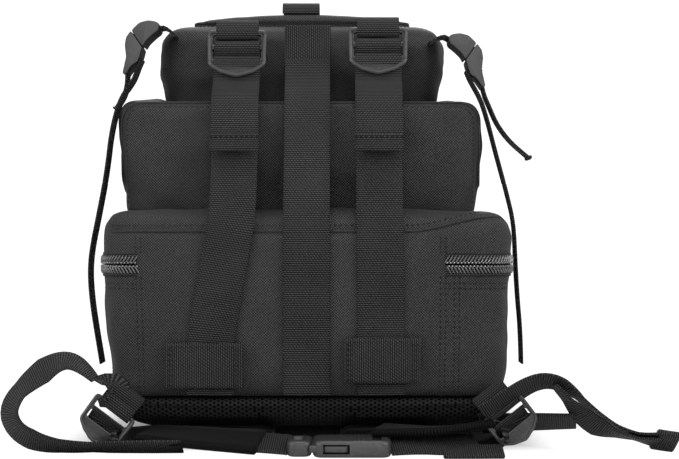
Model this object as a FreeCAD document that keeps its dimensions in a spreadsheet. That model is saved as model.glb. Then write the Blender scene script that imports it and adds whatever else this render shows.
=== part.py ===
"""Stepped three-compartment backpack lying on its back panel.

+Z is the front of the pack (up), -Y its base, +Y its top end, X across it.
The origin is on the ground, at the middle of the pack's footprint.
"""
import FreeCAD
import Part
import Sketcher
import math
import os

Vector = FreeCAD.Vector
doc = FreeCAD.newDocument("backpack")

# ---------------------------------------------------------------- driving dimensions
SIZES = {
    "packHalfLong": 230, "mainHalfWide": 143, "mainCorner": 24,
    "padLow": 16, "padHigh": 37.7, "seamHigh": 38, "zipHigh": 129, "mainHigh": 166,
    "tierLean": 5,
    "secondHalfWide": 129, "secondNear": -203, "secondFar": 202, "secondHigh": 244,
    "secondSplit": 50.5, "secondZip": 226.6,
    "lowerHalfWide": 104, "lowerNear": -172, "lowerFar": 46, "lowerHigh": 300,
    "lowerRound": 22, "flapInset": 23, "mouthInset": 26, "flapThick": 7.7,
    "upperHalfWide": 96, "upperNear": 74, "upperSlant": 24, "upperFar": 190, "upperHigh": 282,
    "wall": 3, "gap": 0.3, "zipBand": 8.2,
    "chainHigh": 4.5, "chainOut": 1.2, "chainIn": 1.6, "tapeThick": 0.9,
    "zipLeftEnd": -116, "zipRightEnd": 95,
    "webWide": 32, "sideWebWide": 25, "beltWide": 38, "sternumWide": 19, "webThick": 1.6,
    "strapLow": 0.3, "softThick": 12, "wingHigh": 15.7,
    "handleHalfWide": 62, "handleGrip": 14, "handleReach": 34, "handleThick": 4,
    "waistHalfDeep": 21, "waistThick": 11.5, "waistMid": -246,
    "compressMid": -177,
}
sheet = doc.addObject("Spreadsheet::Sheet", "Size")
for row, (alias, value) in enumerate(SIZES.items(), start=1):
    sheet.set(f"A{row}", alias)
    sheet.set(f"B{row}", str(value))
    sheet.setAlias(f"B{row}", alias)
doc.recompute()

nodes = []


def size(expression):
    """Value of an expression on the sheet, in millimetres."""
    value = sheet.evalExpression(str(expression))
    return float(getattr(value, "Value", value))


def keep(piece):
    """Note a finished sub-part, whose label names its file."""
    nodes.append(piece)
    return piece


# ---------------------------------------------------------------- sketches and features
def sketchOn(body, plane, offset):
    """A sketch on one of the body's origin planes, moved along its normal."""
    face = [f for f in body.Origin.OriginFeatures if f.Role == plane + "_Plane"][0]
    sketch = body.newObject("Sketcher::SketchObject", body.Name + "_outline")
    sketch.AttachmentSupport = [(face, "")]
    sketch.MapMode = "FlatFace"
    sketch.setExpression("AttachmentOffset.Base.z", str(offset))
    return sketch


def join(sketch, first, count):
    """Close a run of lines end to end."""
    for i in range(count):
        after = first + (i + 1) % count
        sketch.addConstraint(Sketcher.Constraint("Coincident", first + i, 2, after, 1))


def bound(sketch, kind, where, expression):
    """A dimension whose value follows the sheet."""
    index = sketch.addConstraint(Sketcher.Constraint(kind, *where, size(expression)))
    sketch.setExpression(f"Constraints[{index}]", str(expression))


def rectangle(sketch, left, right, near, far, corner=None):
    """A rectangle given by its four sides, with rounded corners where corner is given."""
    x0, x1, y0, y1 = size(left), size(right), size(near), size(far)
    first = sketch.GeometryCount
    r = size(corner) if corner else 0
    ends = [((x0 + r, y0), (x1 - r, y0)), ((x1, y0 + r), (x1, y1 - r)),
            ((x1 - r, y1), (x0 + r, y1)), ((x0, y1 - r), (x0, y0 + r))]
    for start, end in ends:
        sketch.addGeometry(Part.LineSegment(Vector(*start, 0), Vector(*end, 0)), False)
    for line, direction in enumerate(("Horizontal", "Vertical") * 2):
        sketch.addConstraint(Sketcher.Constraint(direction, first + line))
    if corner:
        middles = [(x1 - r, y0 + r), (x1 - r, y1 - r), (x0 + r, y1 - r), (x0 + r, y0 + r)]
        for i, middle in enumerate(middles):
            circle = Part.Circle(Vector(*middle, 0), Vector(0, 0, 1), r)
            start = math.radians(-90 + 90 * i)
            arc = Part.ArcOfCircle(circle, start, start + math.pi / 2)
            sketch.addGeometry(arc, False)
        for i in range(4):
            arc = first + 4 + i
            sketch.addConstraint(Sketcher.Constraint("Tangent", first + i, 2, arc, 1))
            sketch.addConstraint(Sketcher.Constraint("Tangent", arc, 2, first + (i + 1) % 4, 1))
        for i in range(1, 4):
            sketch.addConstraint(Sketcher.Constraint("Equal", first + 4, first + 4 + i))
        bound(sketch, "Radius", (first + 4,), corner)
    else:
        join(sketch, first, 4)
    bound(sketch, "DistanceY", (-1, 1, first, 1), near)
    bound(sketch, "DistanceX", (-1, 1, first + 1, 1), right)
    bound(sketch, "DistanceY", (-1, 1, first + 2, 1), far)
    bound(sketch, "DistanceX", (-1, 1, first + 3, 1), left)


def polygon(sketch, points):
    """A closed outline of straight edges held where it is drawn."""
    first = sketch.GeometryCount
    for i, point in enumerate(points):
        after = points[(i + 1) % len(points)]
        sketch.addGeometry(Part.LineSegment(Vector(*point, 0), Vector(*after, 0)), False)
    join(sketch, first, len(points))
    for i in range(len(points)):
        sketch.addConstraint(Sketcher.Constraint("Block", first + i))


def feature(body, kind, sketch, length, middle=False, reverse=False):
    made = body.newObject("PartDesign::" + kind, f"{body.Name}_{kind}")
    made.Profile = sketch
    made.setExpression("Length", str(length))
    made.Midplane = middle
    made.Reversed = reverse
    doc.recompute()
    return made


def newBody(label):
    body = doc.addObject("PartDesign::Body", label)
    body.Label = label
    return keep(body)


def slab(label, left, right, near, far, low, high, corner=None):
    """A body padded up from a rectangle in plan."""
    body = newBody(label)
    outline = sketchOn(body, "XY", low)
    rectangle(outline, left, right, near, far, corner)
    feature(body, "Pad", outline, f"({high}) - ({low})")
    return body


def hollowOut(body, left, right, near, far, low, high, corner=None):
    """Cut a rectangular space out of a body, from high down to low."""
    outline = sketchOn(body, "XY", high)
    rectangle(outline, left, right, near, far, corner)
    before = body.Shape.Volume
    feature(body, "Pocket", outline, f"({high}) - ({low})")
    if body.Shape.Volume > before - 1:
        raise RuntimeError(body.Label + ": a cut removed nothing")


def roundEdges(body, radius, test):
    """Fillet the edges whose two ends and direction pass the test."""
    base = body.Tip
    names = [f"Edge{i + 1}" for i, edge in enumerate(base.Shape.Edges) if test(edge)]
    made = body.newObject("PartDesign::Fillet", body.Name + "_round")
    made.Base = (base, names)
    made.setExpression("Radius", str(radius))
    doc.recompute()


def shellOut(body, open_high):
    """Leave only walls, open at the face whose centre is at this height."""
    base = body.Tip
    names = [f"Face{i + 1}" for i, face in enumerate(base.Shape.Faces)
             if abs(face.CenterOfMass.z - open_high) < 0.01]
    made = body.newObject("PartDesign::Thickness", body.Name + "_walls")
    made.Base = (base, names)
    made.setExpression("Value", "Size.wall")
    made.Reversed = True
    made.Join = 0
    doc.recompute()


def level(height):
    """Test for edges that lie at one height."""
    return lambda edge: all(abs(v.Z - height) < 0.01 for v in edge.Vertexes)


def box(name, left, right, near, far, low, high):
    """A Part box given by its six sides."""
    piece = doc.addObject("Part::Box", name)
    piece.setExpression("Length", f"({right}) - ({left})")
    piece.setExpression("Width", f"({far}) - ({near})")
    piece.setExpression("Height", f"({high}) - ({low})")
    piece.setExpression("Placement.Base.x", str(left))
    piece.setExpression("Placement.Base.y", str(near))
    piece.setExpression("Placement.Base.z", str(low))
    return piece


def gather(label, kind, pieces):
    """Several solids as one sub-part: a Part::Compound or a Part::MultiFuse."""
    whole = doc.addObject("Part::" + kind, label)
    whole.Label = label
    if kind == "Compound":
        whole.Links = pieces
    else:
        whole.Shapes = pieces
    return keep(whole)


def ribbonOutline(route, thick):
    """Outline of a strip of webbing seen edge-on, along a route of corners."""
    sides = ([], [])
    for i, (u, v) in enumerate(route):
        runs = []
        for a, b in ((i - 1, i), (i, i + 1)):
            if a >= 0 and b < len(route):
                du, dv = route[b][0] - route[a][0], route[b][1] - route[a][1]
                length = math.hypot(du, dv)
                runs.append((-dv / length, du / length))
        nu = sum(n[0] for n in runs) / len(runs)
        nv = sum(n[1] for n in runs) / len(runs)
        reach = thick / 2 / (nu * nu + nv * nv)
        sides[0].append((u + nu * reach, v + nv * reach))
        sides[1].append((u - nu * reach, v - nv * reach))
    return sides[0] + sides[1][::-1]


def ribbon(label, plane, route, across, wide, thick="Size.webThick", kept=True):
    """A strip of webbing whose width runs square to the plane its route is in."""
    body = doc.addObject("PartDesign::Body", label)
    body.Label = label
    outline = sketchOn(body, plane, across)
    polygon(outline, ribbonOutline(route, size(thick)))
    feature(body, "Pad", outline, wide, middle=True)
    return keep(body) if kept else body


# ---------------------------------------------------------------- back panel and main shell
def backPanel():
    pad = slab("back_pad", "-Size.mainHalfWide + 6", "Size.mainHalfWide - 6",
               "-Size.packHalfLong + 6", "Size.packHalfLong - 6",
               "Size.padLow", "Size.padHigh", "30")
    roundEdges(pad, 14, level(size("Size.padLow")))
    slab("frame_sheet", -118, 118, -205, 205, "Size.seamHigh + 3.5", "Size.seamHigh + 5.5", 12)
    slab("sleeve_panel", "-Size.mainHalfWide + 3.6", "Size.mainHalfWide - 3.6",
         "-Size.packHalfLong + 3.6", 120, 60, 61.6, 22)


def zipNotch(body, low, depth, reverse):
    """Cut the zip's band out of a shell's rim, but for the hinge panel at the base."""
    outline = sketchOn(body, "XY", low)
    left, right = size("Size.zipLeftEnd"), size("Size.zipRightEnd")
    out, back = size("Size.mainHalfWide") + 20, size("Size.packHalfLong") + 20
    polygon(outline, [(-out, -back), (left, -back), (left, -back + 40), (right, -back + 40),
                      (right, -back), (out, -back), (out, back), (-out, back)])
    before = body.Shape.Volume
    feature(body, "Pocket", outline, depth, reverse=reverse)
    if body.Shape.Volume > before - 1:
        raise RuntimeError(body.Label + ": the zip's band was not cut")


def mainShells():
    wide, long = "Size.mainHalfWide", "Size.packHalfLong"
    rear = slab("main_rear_shell", "-" + wide, wide, "-" + long, long,
                "Size.seamHigh", "Size.zipHigh - Size.gap", "Size.mainCorner")
    roundEdges(rear, 8, level(size("Size.seamHigh")))
    shellOut(rear, size("Size.zipHigh - Size.gap"))
    zipNotch(rear, "Size.zipHigh - Size.gap", "Size.zipBand", False)
    front = slab("main_front_shell", "-" + wide, wide, "-" + long, long,
                 "Size.zipHigh + Size.gap", "Size.mainHigh", "Size.mainCorner")
    roundEdges(front, 14, level(size("Size.mainHigh")))
    shellOut(front, size("Size.zipHigh + Size.gap"))
    zipNotch(front, "Size.zipHigh + Size.gap", "Size.zipBand", True)


def ring(body, low, high, out, inside):
    """A band that follows the main shell's outline."""
    outline = sketchOn(body, "XY", low)
    for shift in (out, f"-({inside})"):
        rectangle(outline, f"-(Size.mainHalfWide + {shift})", f"Size.mainHalfWide + {shift}",
                  f"-(Size.packHalfLong + {shift})", f"Size.packHalfLong + {shift}",
                  f"Size.mainCorner + {shift}")
    feature(body, "Pad", outline, f"({high}) - ({low})")


def zipHalves():
    """The half chains of the main zip, each on its tape, with room for a slider's neck."""
    edges = {
        "rear_zip_half": ("Size.zipHigh - 0.7 - Size.chainHigh", "Size.zipHigh - 0.7",
                          "Size.zipHigh - Size.zipBand", "Size.zipHigh - 0.7 - Size.chainHigh"),
        "front_zip_half": ("Size.zipHigh + 0.7", "Size.zipHigh + 0.7 + Size.chainHigh",
                           "Size.zipHigh + 0.7 + Size.chainHigh", "Size.zipHigh + Size.zipBand"),
    }
    for label, (chainLow, chainHigh, tapeLow, tapeHigh) in edges.items():
        body = newBody(label)
        ring(body, chainLow, chainHigh, "Size.chainOut", "Size.chainIn")
        ring(body, tapeLow, tapeHigh, "(Size.tapeThick - Size.chainIn)", "Size.chainIn")
        hollowOut(body, "Size.zipLeftEnd", "Size.zipRightEnd", "-Size.packHalfLong - 10",
                  "-Size.packHalfLong + 10", tapeLow + " - 20", tapeHigh + " + 20")


def mainSliders():
    """A slider at each side: outer plate, neck, inner plate and pull tab."""
    for label, sign in (("main_slider_left", -1), ("main_slider_right", 1)):
        plates = []
        for name, near, far, inner, outer, half in (
                ("outer", 140, 158, "1.5", "4.2", 6.5), ("neck", 152, 156, "-1.9", "1.5", 0.4),
                ("inner", 140, 158, "-4", "-1.9", 6.5), ("loop", 146, 152, "4.2", "6.6", 2.5),
                ("pull", 122, 149, "6.6", "8.2", 4)):
            sides = sorted((f"{sign}*(Size.mainHalfWide + {inner})",
                            f"{sign}*(Size.mainHalfWide + {outer})"), key=size)
            plates.append(box(f"{label}_{name}", sides[0], sides[1], near, far,
                              f"Size.zipHigh - {half}", f"Size.zipHigh + {half}"))
        gather(label, "MultiFuse", plates)


# ---------------------------------------------------------------- front compartments
def secondCompartment():
    left, right = "-Size.secondHalfWide - Size.tierLean", "Size.secondHalfWide - Size.tierLean"
    shell = slab("second_shell", left, right, "Size.secondNear", "Size.secondFar",
                 "Size.mainHigh + Size.gap", "Size.secondHigh", "Size.mainCorner")
    roundEdges(shell, 12, level(size("Size.secondHigh")))
    shellOut(shell, size("Size.mainHigh + Size.gap"))
    hollowOut(shell, left + " - 5", right + " + 5", "Size.secondSplit", "Size.secondFar + 5",
              "Size.secondZip - Size.gap", "Size.secondHigh + 5")
    lid = slab("second_lid_shell", left, right, "Size.secondSplit + 0.5", "Size.secondFar",
               "Size.secondZip + Size.gap", "Size.secondHigh")
    far = size("Size.secondFar")
    roundEdges(lid, "Size.mainCorner", lambda edge: all(
        abs(v.Y - far) < 0.01 for v in edge.Vertexes) and abs(edge.tangentAt(0).z) > 0.99)
    high, near = size("Size.secondHigh"), size("Size.secondSplit") + 0.5
    roundEdges(lid, 12, lambda edge: level(high)(edge)
               and not all(abs(v.Y - near) < 0.01 for v in edge.Vertexes))
    shellOut(lid, size("Size.secondZip + Size.gap"))
    small = [box("second_slider_body", right + " + 0.4", right + " + 3.4", 60, 76,
                 "Size.secondZip - 5", "Size.secondZip + 5"),
             box("second_slider_pull", right + " + 3.4", right + " + 5", 50, 70,
                 "Size.secondZip - 3", "Size.secondZip + 3")]
    gather("second_slider", "MultiFuse", small)


def lowerPocket():
    left, right = "-Size.lowerHalfWide - Size.tierLean", "Size.lowerHalfWide - Size.tierLean"
    floor = "Size.secondHigh + Size.gap"
    shell = slab("lower_pocket_shell", left, right, "Size.lowerNear", "Size.lowerFar",
                 floor, "Size.lowerHigh", "Size.lowerRound + 2")
    roundEdges(shell, "Size.lowerRound", level(size("Size.lowerHigh")))
    for inset, high in (("Size.mouthInset", "Size.lowerHigh"),
                        ("Size.wall", "Size.lowerHigh - Size.lowerRound - 1")):
        hollowOut(shell, f"{left} + {inset}", f"{right} - {inset}",
                  f"Size.lowerNear + {inset}", f"Size.lowerFar - {inset}",
                  floor + " + Size.wall", high, 12)
    flap = slab("lower_flap", left + " + Size.flapInset", right + " - Size.flapInset",
                "Size.lowerNear + Size.flapInset", "Size.lowerFar - Size.flapInset",
                "Size.lowerHigh + Size.gap",
                "Size.lowerHigh + Size.gap + Size.flapThick", 12)
    roundEdges(flap, 6, level(size("Size.lowerHigh + Size.gap + Size.flapThick")))
    top = "Size.lowerHigh + Size.gap + Size.flapThick + 0.2"
    rows = [box(f"lower_row_{i}", left + " + 30", right + " - 30", near, f"{near} + 25",
                top, top + " + Size.webThick") for i, near in enumerate((-106, -58, -10))]
    high = size(top)
    rows.append(ribbon("front_loop", "YZ",
                       [(-142, high + 1), (-137, high + 8.5), (-119, high + 8.5), (-114, high + 1)],
                       -5.5, 27, kept=False))
    gather("lower_flap_webbing", "Compound", rows)
    side = right + " - Size.flapInset"
    gather("lower_flap_slider", "MultiFuse", [
        box("lower_slider_body", side + " + 0.6", side + " + 6.6", -20, -6,
            "Size.lowerHigh + 0.4", "Size.lowerHigh + 3.4"),
        box("lower_slider_pull", side + " + 1.6", side + " + 5.6", -44, -12,
            "Size.lowerHigh + 3.4", "Size.lowerHigh + 4.8")])


def upperPocket():
    shell = newBody("upper_pocket_shell")
    outline = sketchOn(shell, "YZ", 0)
    near, far = size("Size.upperNear"), size("Size.upperFar")
    low, high = size("Size.secondHigh + Size.gap"), size("Size.upperHigh")
    slant = size("Size.upperSlant")
    polygon(outline, [(near, low), (far, low), (far, high), (near + slant, high)])
    feature(shell, "Pad", outline, "Size.upperHalfWide * 2", middle=True)
    roundEdges(shell, 14, lambda edge: abs(edge.tangentAt(edge.FirstParameter).x) < 0.01
               and abs(edge.tangentAt(edge.FirstParameter).z) > 0.5)
    shellOut(shell, high)
    flap = slab("upper_flap", "-Size.upperHalfWide + 4", "Size.upperHalfWide - 4",
                "Size.upperNear + Size.upperSlant + 1", "Size.upperFar - 4",
                "Size.upperHigh + Size.gap", "Size.upperHigh + Size.gap + Size.flapThick", 12)
    roundEdges(flap, 6, level(size("Size.upperHigh + Size.gap + Size.flapThick")))
    top = "Size.upperHigh + Size.gap + Size.flapThick + 0.2"
    gather("upper_flap_webbing", "Compound", [
        box(f"upper_row_{i}", -74, 74, start, f"{start} + 25", top, top + " + Size.webThick")
        for i, start in enumerate((110, 152))])
    gather("upper_flap_slider", "MultiFuse", [
        box("upper_slider_body", "Size.upperHalfWide + 0.4", "Size.upperHalfWide + 3.4", 150, 164,
            "Size.upperHigh - 6", "Size.upperHigh + 4"),
        box("upper_slider_pull", "Size.upperHalfWide + 3.4", "Size.upperHalfWide + 4.9", 134, 158,
            "Size.upperHigh - 4", "Size.upperHigh + 2")])


# ---------------------------------------------------------------- webbing on the base
FRONT_OF_BASE = -231.6
LOCK_TILT = 20
LOCKS = {"left": (-50, -178, 292), "right": (50, -178, 294)}
STRAP_LEAN = {"left": 0.116, "right": -0.023}
STRAP_FOOT = {"left": (-66, 76), "right": (51, 76)}


def onLock(side, out, up):
    """A point beside a ladder lock, in the YZ plane: out of its back face, up its length."""
    x, y, z = LOCKS[side]
    tilt = math.radians(LOCK_TILT)
    return (y + out * math.cos(tilt) + up * math.sin(tilt),
            z - out * math.sin(tilt) + up * math.cos(tilt))


def baseWebbing():
    """Centre webbing and two base straps, each cut at the hinge line of the main lid."""
    low, cut = size("Size.seamHigh") + 0.3, size("Size.zipHigh")
    half = size("Size.webWide") / 2
    foot = {"centre": (0, 76), **STRAP_FOOT}
    lean = {"centre": 0, **STRAP_LEAN}
    for side, label in (("centre", "centre_webbing_lower"), ("left", "left_base_strap_lower"),
                        ("right", "right_base_strap_lower")):
        body = newBody(label)
        outline = sketchOn(body, "XZ", -FRONT_OF_BASE)
        x, z = foot[side]
        ends = [x + (height - z) * lean[side] for height in (low, cut - 0.3)]
        polygon(outline, [(ends[0] - half, low), (ends[0] + half, low),
                          (ends[1] + half, cut - 0.3), (ends[1] - half, cut - 0.3)])
        feature(body, "Pad", outline, "Size.webThick", middle=True)
    ribbon("centre_webbing_upper", "YZ",
           [(FRONT_OF_BASE, cut + 0.3), (FRONT_OF_BASE, 156), (-205, 236), (-174.6, 285),
            (-174, 298)], 0, "Size.webWide")
    for side in ("left", "right"):
        route = [(FRONT_OF_BASE, cut + 0.5), (FRONT_OF_BASE, 156), (-206.2, 237.5)]
        route += [onLock(side, *p) for p in (
            (6, -38), (5.6, -20), (3.8, -13), (3.5, -9.5), (1.8, -6.7), (-1.8, -6.7),
            (-3.6, -9.5), (-3.5, -13.6), (0, -16.4), (3.2, -19.2), (3.5, -24), (3.8, -38))]
        route += [(-209.4, 238.8), (-218.8, 207)]
        ribbon(f"{side}_base_strap_upper", "YZ", route, LOCKS[side][0], "Size.webWide", 1.4)
    patches = []
    for x, z in ((-70, 60), (51.5, 63.5)):
        patches.append(box(f"patch_{len(patches)}", x - 26.5, x + 26.5,
                           FRONT_OF_BASE - 3, FRONT_OF_BASE - 1.1, z - 15.5, z + 15.5))
    gather("base_patches", "Compound", patches)
    rows = []
    for sign in (-1, 1):
        for low in (48, 90):
            sides = sorted((f"{sign}*(Size.mainHalfWide + 0.3)",
                            f"{sign}*(Size.mainHalfWide + 0.3 + Size.webThick)"), key=size)
            rows.append(box(f"side_row_{len(rows)}", *sides, -120, 190, low, low + 25))
    gather("side_webbing", "Compound", rows)


def ladderLock(label, place, scale=1.0):
    """A ladder lock: two side rails, top bar, centre bar and a five-sided lip."""
    body = newBody(label)
    outline = sketchOn(body, "XZ", 0)
    half = 21 * scale
    polygon(outline, [(x * scale, z * scale) for x, z in (
        (-21, 2), (21, 2), (21, -25), (11, -32), (0, -35.5), (-11, -32), (-21, -25))])
    feature(body, "Pad", outline, 3.4 * min(1, scale + 0.1), middle=True)
    for high, low in ((-2, -9), (-13, -20)):
        slot = sketchOn(body, "XZ", 0)
        rectangle(slot, -half + 4, half - 4, low * scale, high * scale)
        feature(body, "Pocket", slot, 20, middle=True)
    body.Placement = place
    return body


def ladderLocks():
    """Ladder locks of the base straps, with the webbing loops that hold them."""
    loops = []
    for side, (x, y, z) in LOCKS.items():
        turn = FreeCAD.Rotation(Vector(1, 0, 0), -LOCK_TILT)
        ladderLock(f"{side}_ladder_lock", FreeCAD.Placement(Vector(x, y, z), turn))
        route = [onLock(side, *p) for p in ((3.4, 9), (3.4, -1.5), (1.6, -4.2), (-1.6, -4.2),
                                            (-3.4, -1.5), (-3.4, 5.5), (0.8, 9))]
        loops.append(ribbon(f"loop_{side}", "YZ", route, x, "Size.webWide - 2", 1.4, kept=False))
    gather("lock_anchor_loops", "Compound", loops)


# ---------------------------------------------------------------- compression straps
BUCKLE_ENDS = {"left": (104.3, 296), "right": (99.5, 287)}
COMPRESS_ROUTES = {
    "left": [(-146, 58), (-150, 82), (-153.5, 105), (-154.4, 124), (-153, 141), (-148, 165),
             (-142.5, 195), (-139, 225), (-133, 246), (-124, 257), (-120.5, 264), (-120.2, 271)],
    "right": [(151.6, 58), (151.2, 82), (149, 104), (147.6, 129), (146.4, 158), (141.5, 178),
              (138, 191), (133.4, 208), (128.8, 226), (123.5, 244), (117.5, 255), (115.2, 262)],
}
COMPRESS_ANCHORS = {
    "left": [(-102.6, 296), (-98, 299.2), (-92, 301.4), (-87.5, 302)],
    "right": [(98.4, 288.4), (93, 295.6), (86, 300.4), (77.5, 302)],
}


def buckleSide(side, points):
    """Points of a side buckle, counted outward and up from its inner end."""
    sign = -1 if side == "left" else 1
    x, z = BUCKLE_ENDS[side]
    return [(sign * (x + out), z + up) for out, up in points]


def buckleProng(side, name, start, end, thick, wide):
    """A straight bar along the way that a buckle's tongue slides."""
    route = buckleSide(side, [start, end])
    return ribbon(f"{side}_{name}", "XZ", route, "-Size.compressMid", wide, thick, kept=False)


def compressionStraps():
    anchors = []
    for side in ("left", "right"):
        ribbon(f"{side}_compression_webbing", "XZ", COMPRESS_ROUTES[side], "-Size.compressMid",
               "Size.sideWebWide")
        shapes = {
            "socket": [(0, 2.4), (6, 4), (14, 2.5), (20, -3.2), (11.2, -14.9), (10, -11.5),
                       (0.6, -3)],
            "tongue": [(20.3, -3.6), (24, -9), (23.2, -22), (25.8, -33.5), (23.9, -34),
                       (17.5, -24), (13.5, -23), (12.6, -17), (11.6, -15.1)],
        }
        bodies = {}
        for name, points in shapes.items():
            body = doc.addObject("PartDesign::Body", f"{side}_{name}_block")
            outline = sketchOn(body, "XZ", "-Size.compressMid")
            polygon(outline, buckleSide(side, points))
            feature(body, "Pad", outline, "Size.sideWebWide + 8", middle=True)
            bodies[name] = body
        space = buckleProng(side, "prong_space", (17.6, -9.7), (3.7, 0.7), 4.2, 21)
        prong = buckleProng(side, "prong", (17.2, -9.4), (5.2, -0.4), 3.2, 19.6)
        socket = doc.addObject("Part::Cut", f"{side}_compression_socket")
        socket.Base = bodies["socket"]
        socket.Tool = space
        keep(socket)
        gather(f"{side}_compression_tongue", "MultiFuse", [bodies["tongue"], prong])
        anchors.append(ribbon(f"anchor_{side}", "XZ", COMPRESS_ANCHORS[side],
                              "-Size.compressMid", "Size.sideWebWide", kept=False))
    gather("compression_anchors", "Compound", anchors)


# ---------------------------------------------------------------- harness under the pack
def harness():
    slab("shoulder_yoke", -100, 100, 140, 216, 0, "Size.wingHigh", 16)
    for side, sign in (("left", -1), ("right", 1)):
        edges = sorted((sign * 86, sign * 22))
        slab(f"hip_wing_{side}", *edges, -218, -130, 0, "Size.wingHigh", 14)
        strap = newBody(f"shoulder_strap_{side}")
        outline = sketchOn(strap, "XY", "Size.strapLow")
        polygon(outline, [(sign * x, y) for x, y in (
            (34, 139.5), (98, 139.5), (118, 60), (128, -20), (112, -112), (74, -112),
            (62, -20), (46, 60))])
        feature(strap, "Pad", outline, "Size.softThick")
        lower = newBody(f"{side}_lower_webbing")
        outline = sketchOn(lower, "XY", 6)
        polygon(outline, [(sign * x, y) for x, y in (
            (80.5, -112.4), (105.5, -112.4), (146, -227), (121, -227))])
        feature(lower, "Pad", outline, "Size.webThick")
        edges = sorted((sign * 46, sign * 22))
        slab(f"sternum_webbing_{side}", *edges, "20 - Size.sternumWide/2",
             "20 + Size.sternumWide/2", 6, "6 + Size.webThick")


def sternumBuckle():
    """The sternum buckle's two halves, lying open a little way apart."""
    socket = slab("sternum_socket", -21.6, -4, 7, 33, 3.5, 11.5, 3)
    cavity = sketchOn(socket, "YZ", -4)
    rectangle(cavity, 10.5, 29.5, 5.4, 9.6)
    feature(socket, "Pocket", cavity, 13)
    tongue = slab("sternum_tongue", 13.5, 21.6, 8, 32, 3.5, 11.5, 2)
    for near, far in ((11.5, 15), (18.5, 21.5), (25, 28.5)):
        prong = sketchOn(tongue, "XY", 5.8)
        rectangle(prong, 2, 14, near, far)
        feature(tongue, "Pad", prong, 3.4)


def waistBelt():
    """Waist belt webbing, tilted so that its front edge is low, and its buckle."""
    middle = size("Size.waistMid")
    for label, left, right in (("belt_webbing_left", -85, -13.4),
                               ("belt_webbing_right", 58, 117)):
        half = size("Size.beltWide") / 2
        run = [(middle + 2.2 - half * 0.966, 8.8 - half * 0.259),
               (middle + 2.2 + half * 0.966, 8.8 + half * 0.259)]
        ribbon(label, "YZ", run, (left + right) / 2, right - left)
    near, far = "Size.waistMid - Size.waistHalfDeep", "Size.waistMid + Size.waistHalfDeep"
    socket = slab("waist_buckle_socket", 4.8, 57.2, near, far, 1, "1 + Size.waistThick", 6)
    cavity = sketchOn(socket, "YZ", 4.8)
    rectangle(cavity, near + " + 5", far + " - 5", 3.2, 10.3)
    feature(socket, "Pocket", cavity, 34, reverse=True)
    window = sketchOn(socket, "XZ", 0)
    rectangle(window, 12, 30, 4.2, 9.3)
    feature(socket, "Pocket", window, 600, middle=True)
    tongue = slab("waist_buckle_tongue", -12.7, 4.3, near + " + 1", far + " - 1",
                  1.2, "0.8 + Size.waistThick", 5)
    for start, end in ((5.6, 10.6), (18.5, 23.5), (31.4, 36.4)):
        prong = sketchOn(tongue, "XY", 3.7)
        rectangle(prong, 2, 32, f"{near} + {start}", f"{near} + {end}")
        feature(tongue, "Pad", prong, 6.1)


def grabHandle():
    """A flat webbing bail at the top end, turning about its two sewn ends."""
    near = "Size.packHalfLong + 4"
    low, high = "Size.seamHigh + 2", "Size.seamHigh + 2 + Size.handleThick"
    handle = slab("grab_handle", "-Size.handleHalfWide", "Size.handleHalfWide", near,
                  near + " + Size.handleReach", low, high)
    far = size(near) + size("Size.handleReach")
    roundEdges(handle, 12, lambda edge: abs(edge.tangentAt(edge.FirstParameter).z) > 0.99
               and edge.Vertexes[0].Y > far - 0.1)
    hollowOut(handle, "-Size.handleHalfWide + 25", "Size.handleHalfWide - 25",
              near + " - 5", near + " + Size.handleReach - Size.handleGrip",
              low + " - 1", high + " + 1")


# ---------------------------------------------------------------- shoulder locks and tails
SHOULDER_LOCKS = {"left": ((-130, -234, 31), 37), "right": ((133, -234, 31), -39)}
TAIL_ROUTES = {
    "left": [(-143, 51), (-153, 62), (-166, 65), (-182, 55), (-196, 43), (-203, 29), (-197, 15),
             (-183, 6), (-164, 2.6), (-135, 1.4), (-108, 1.4), (-84, 1.4)],
    "right": [(150, 43), (156, 47.5), (164, 50), (174, 47.5), (184, 41), (196, 32), (208, 21.5),
              (222, 14.5), (238, 10.5), (254, 8.5)],
}


def shoulderEnds():
    """Lower ends of the shoulder straps: locks, corner webbing and loose tails."""
    for side, (at, turn) in SHOULDER_LOCKS.items():
        place = FreeCAD.Placement(Vector(*at), FreeCAD.Rotation(Vector(0, 1, 0), turn))
        ladderLock(f"{side}_shoulder_lock", place, 0.78)
        corner = newBody(f"{side}_corner_webbing")
        outline = sketchOn(corner, "XZ", -3.1)
        rectangle(outline, "-Size.sideWebWide/2", "Size.sideWebWide/2", -1.2, 14)
        feature(corner, "Pad", outline, 1.2, middle=True)
        corner.Placement = place
        ribbon(f"{side}_tail_webbing", "XZ", TAIL_ROUTES[side], 240, "Size.sideWebWide")


# ---------------------------------------------------------------- build and write
backPanel()
mainShells()
zipHalves()
mainSliders()
secondCompartment()
lowerPocket()
upperPocket()
baseWebbing()
ladderLocks()
compressionStraps()
harness()
sternumBuckle()
waistBelt()
grabHandle()
shoulderEnds()
doc.recompute()

for item in doc.Objects:
    if {"Invalid", "Error"} & set(item.State):
        raise RuntimeError(f"{item.Name} failed: {item.State}")
bad = [piece.Label for piece in nodes
       if piece.Shape.isNull() or not piece.Shape.isValid() or not piece.Shape.Solids]
if bad:
    raise RuntimeError("no valid shape: " + ", ".join(bad))
os.makedirs("parts", exist_ok=True)
for piece in nodes:
    piece.Shape.exportStep(f"parts/{piece.Label}.step")
print(len(nodes), "sub-parts written")
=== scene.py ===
import bmesh
import bpy
import math
import numpy
from mathutils import Matrix, Vector, noise
from mathutils.bvhtree import BVHTree


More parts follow.
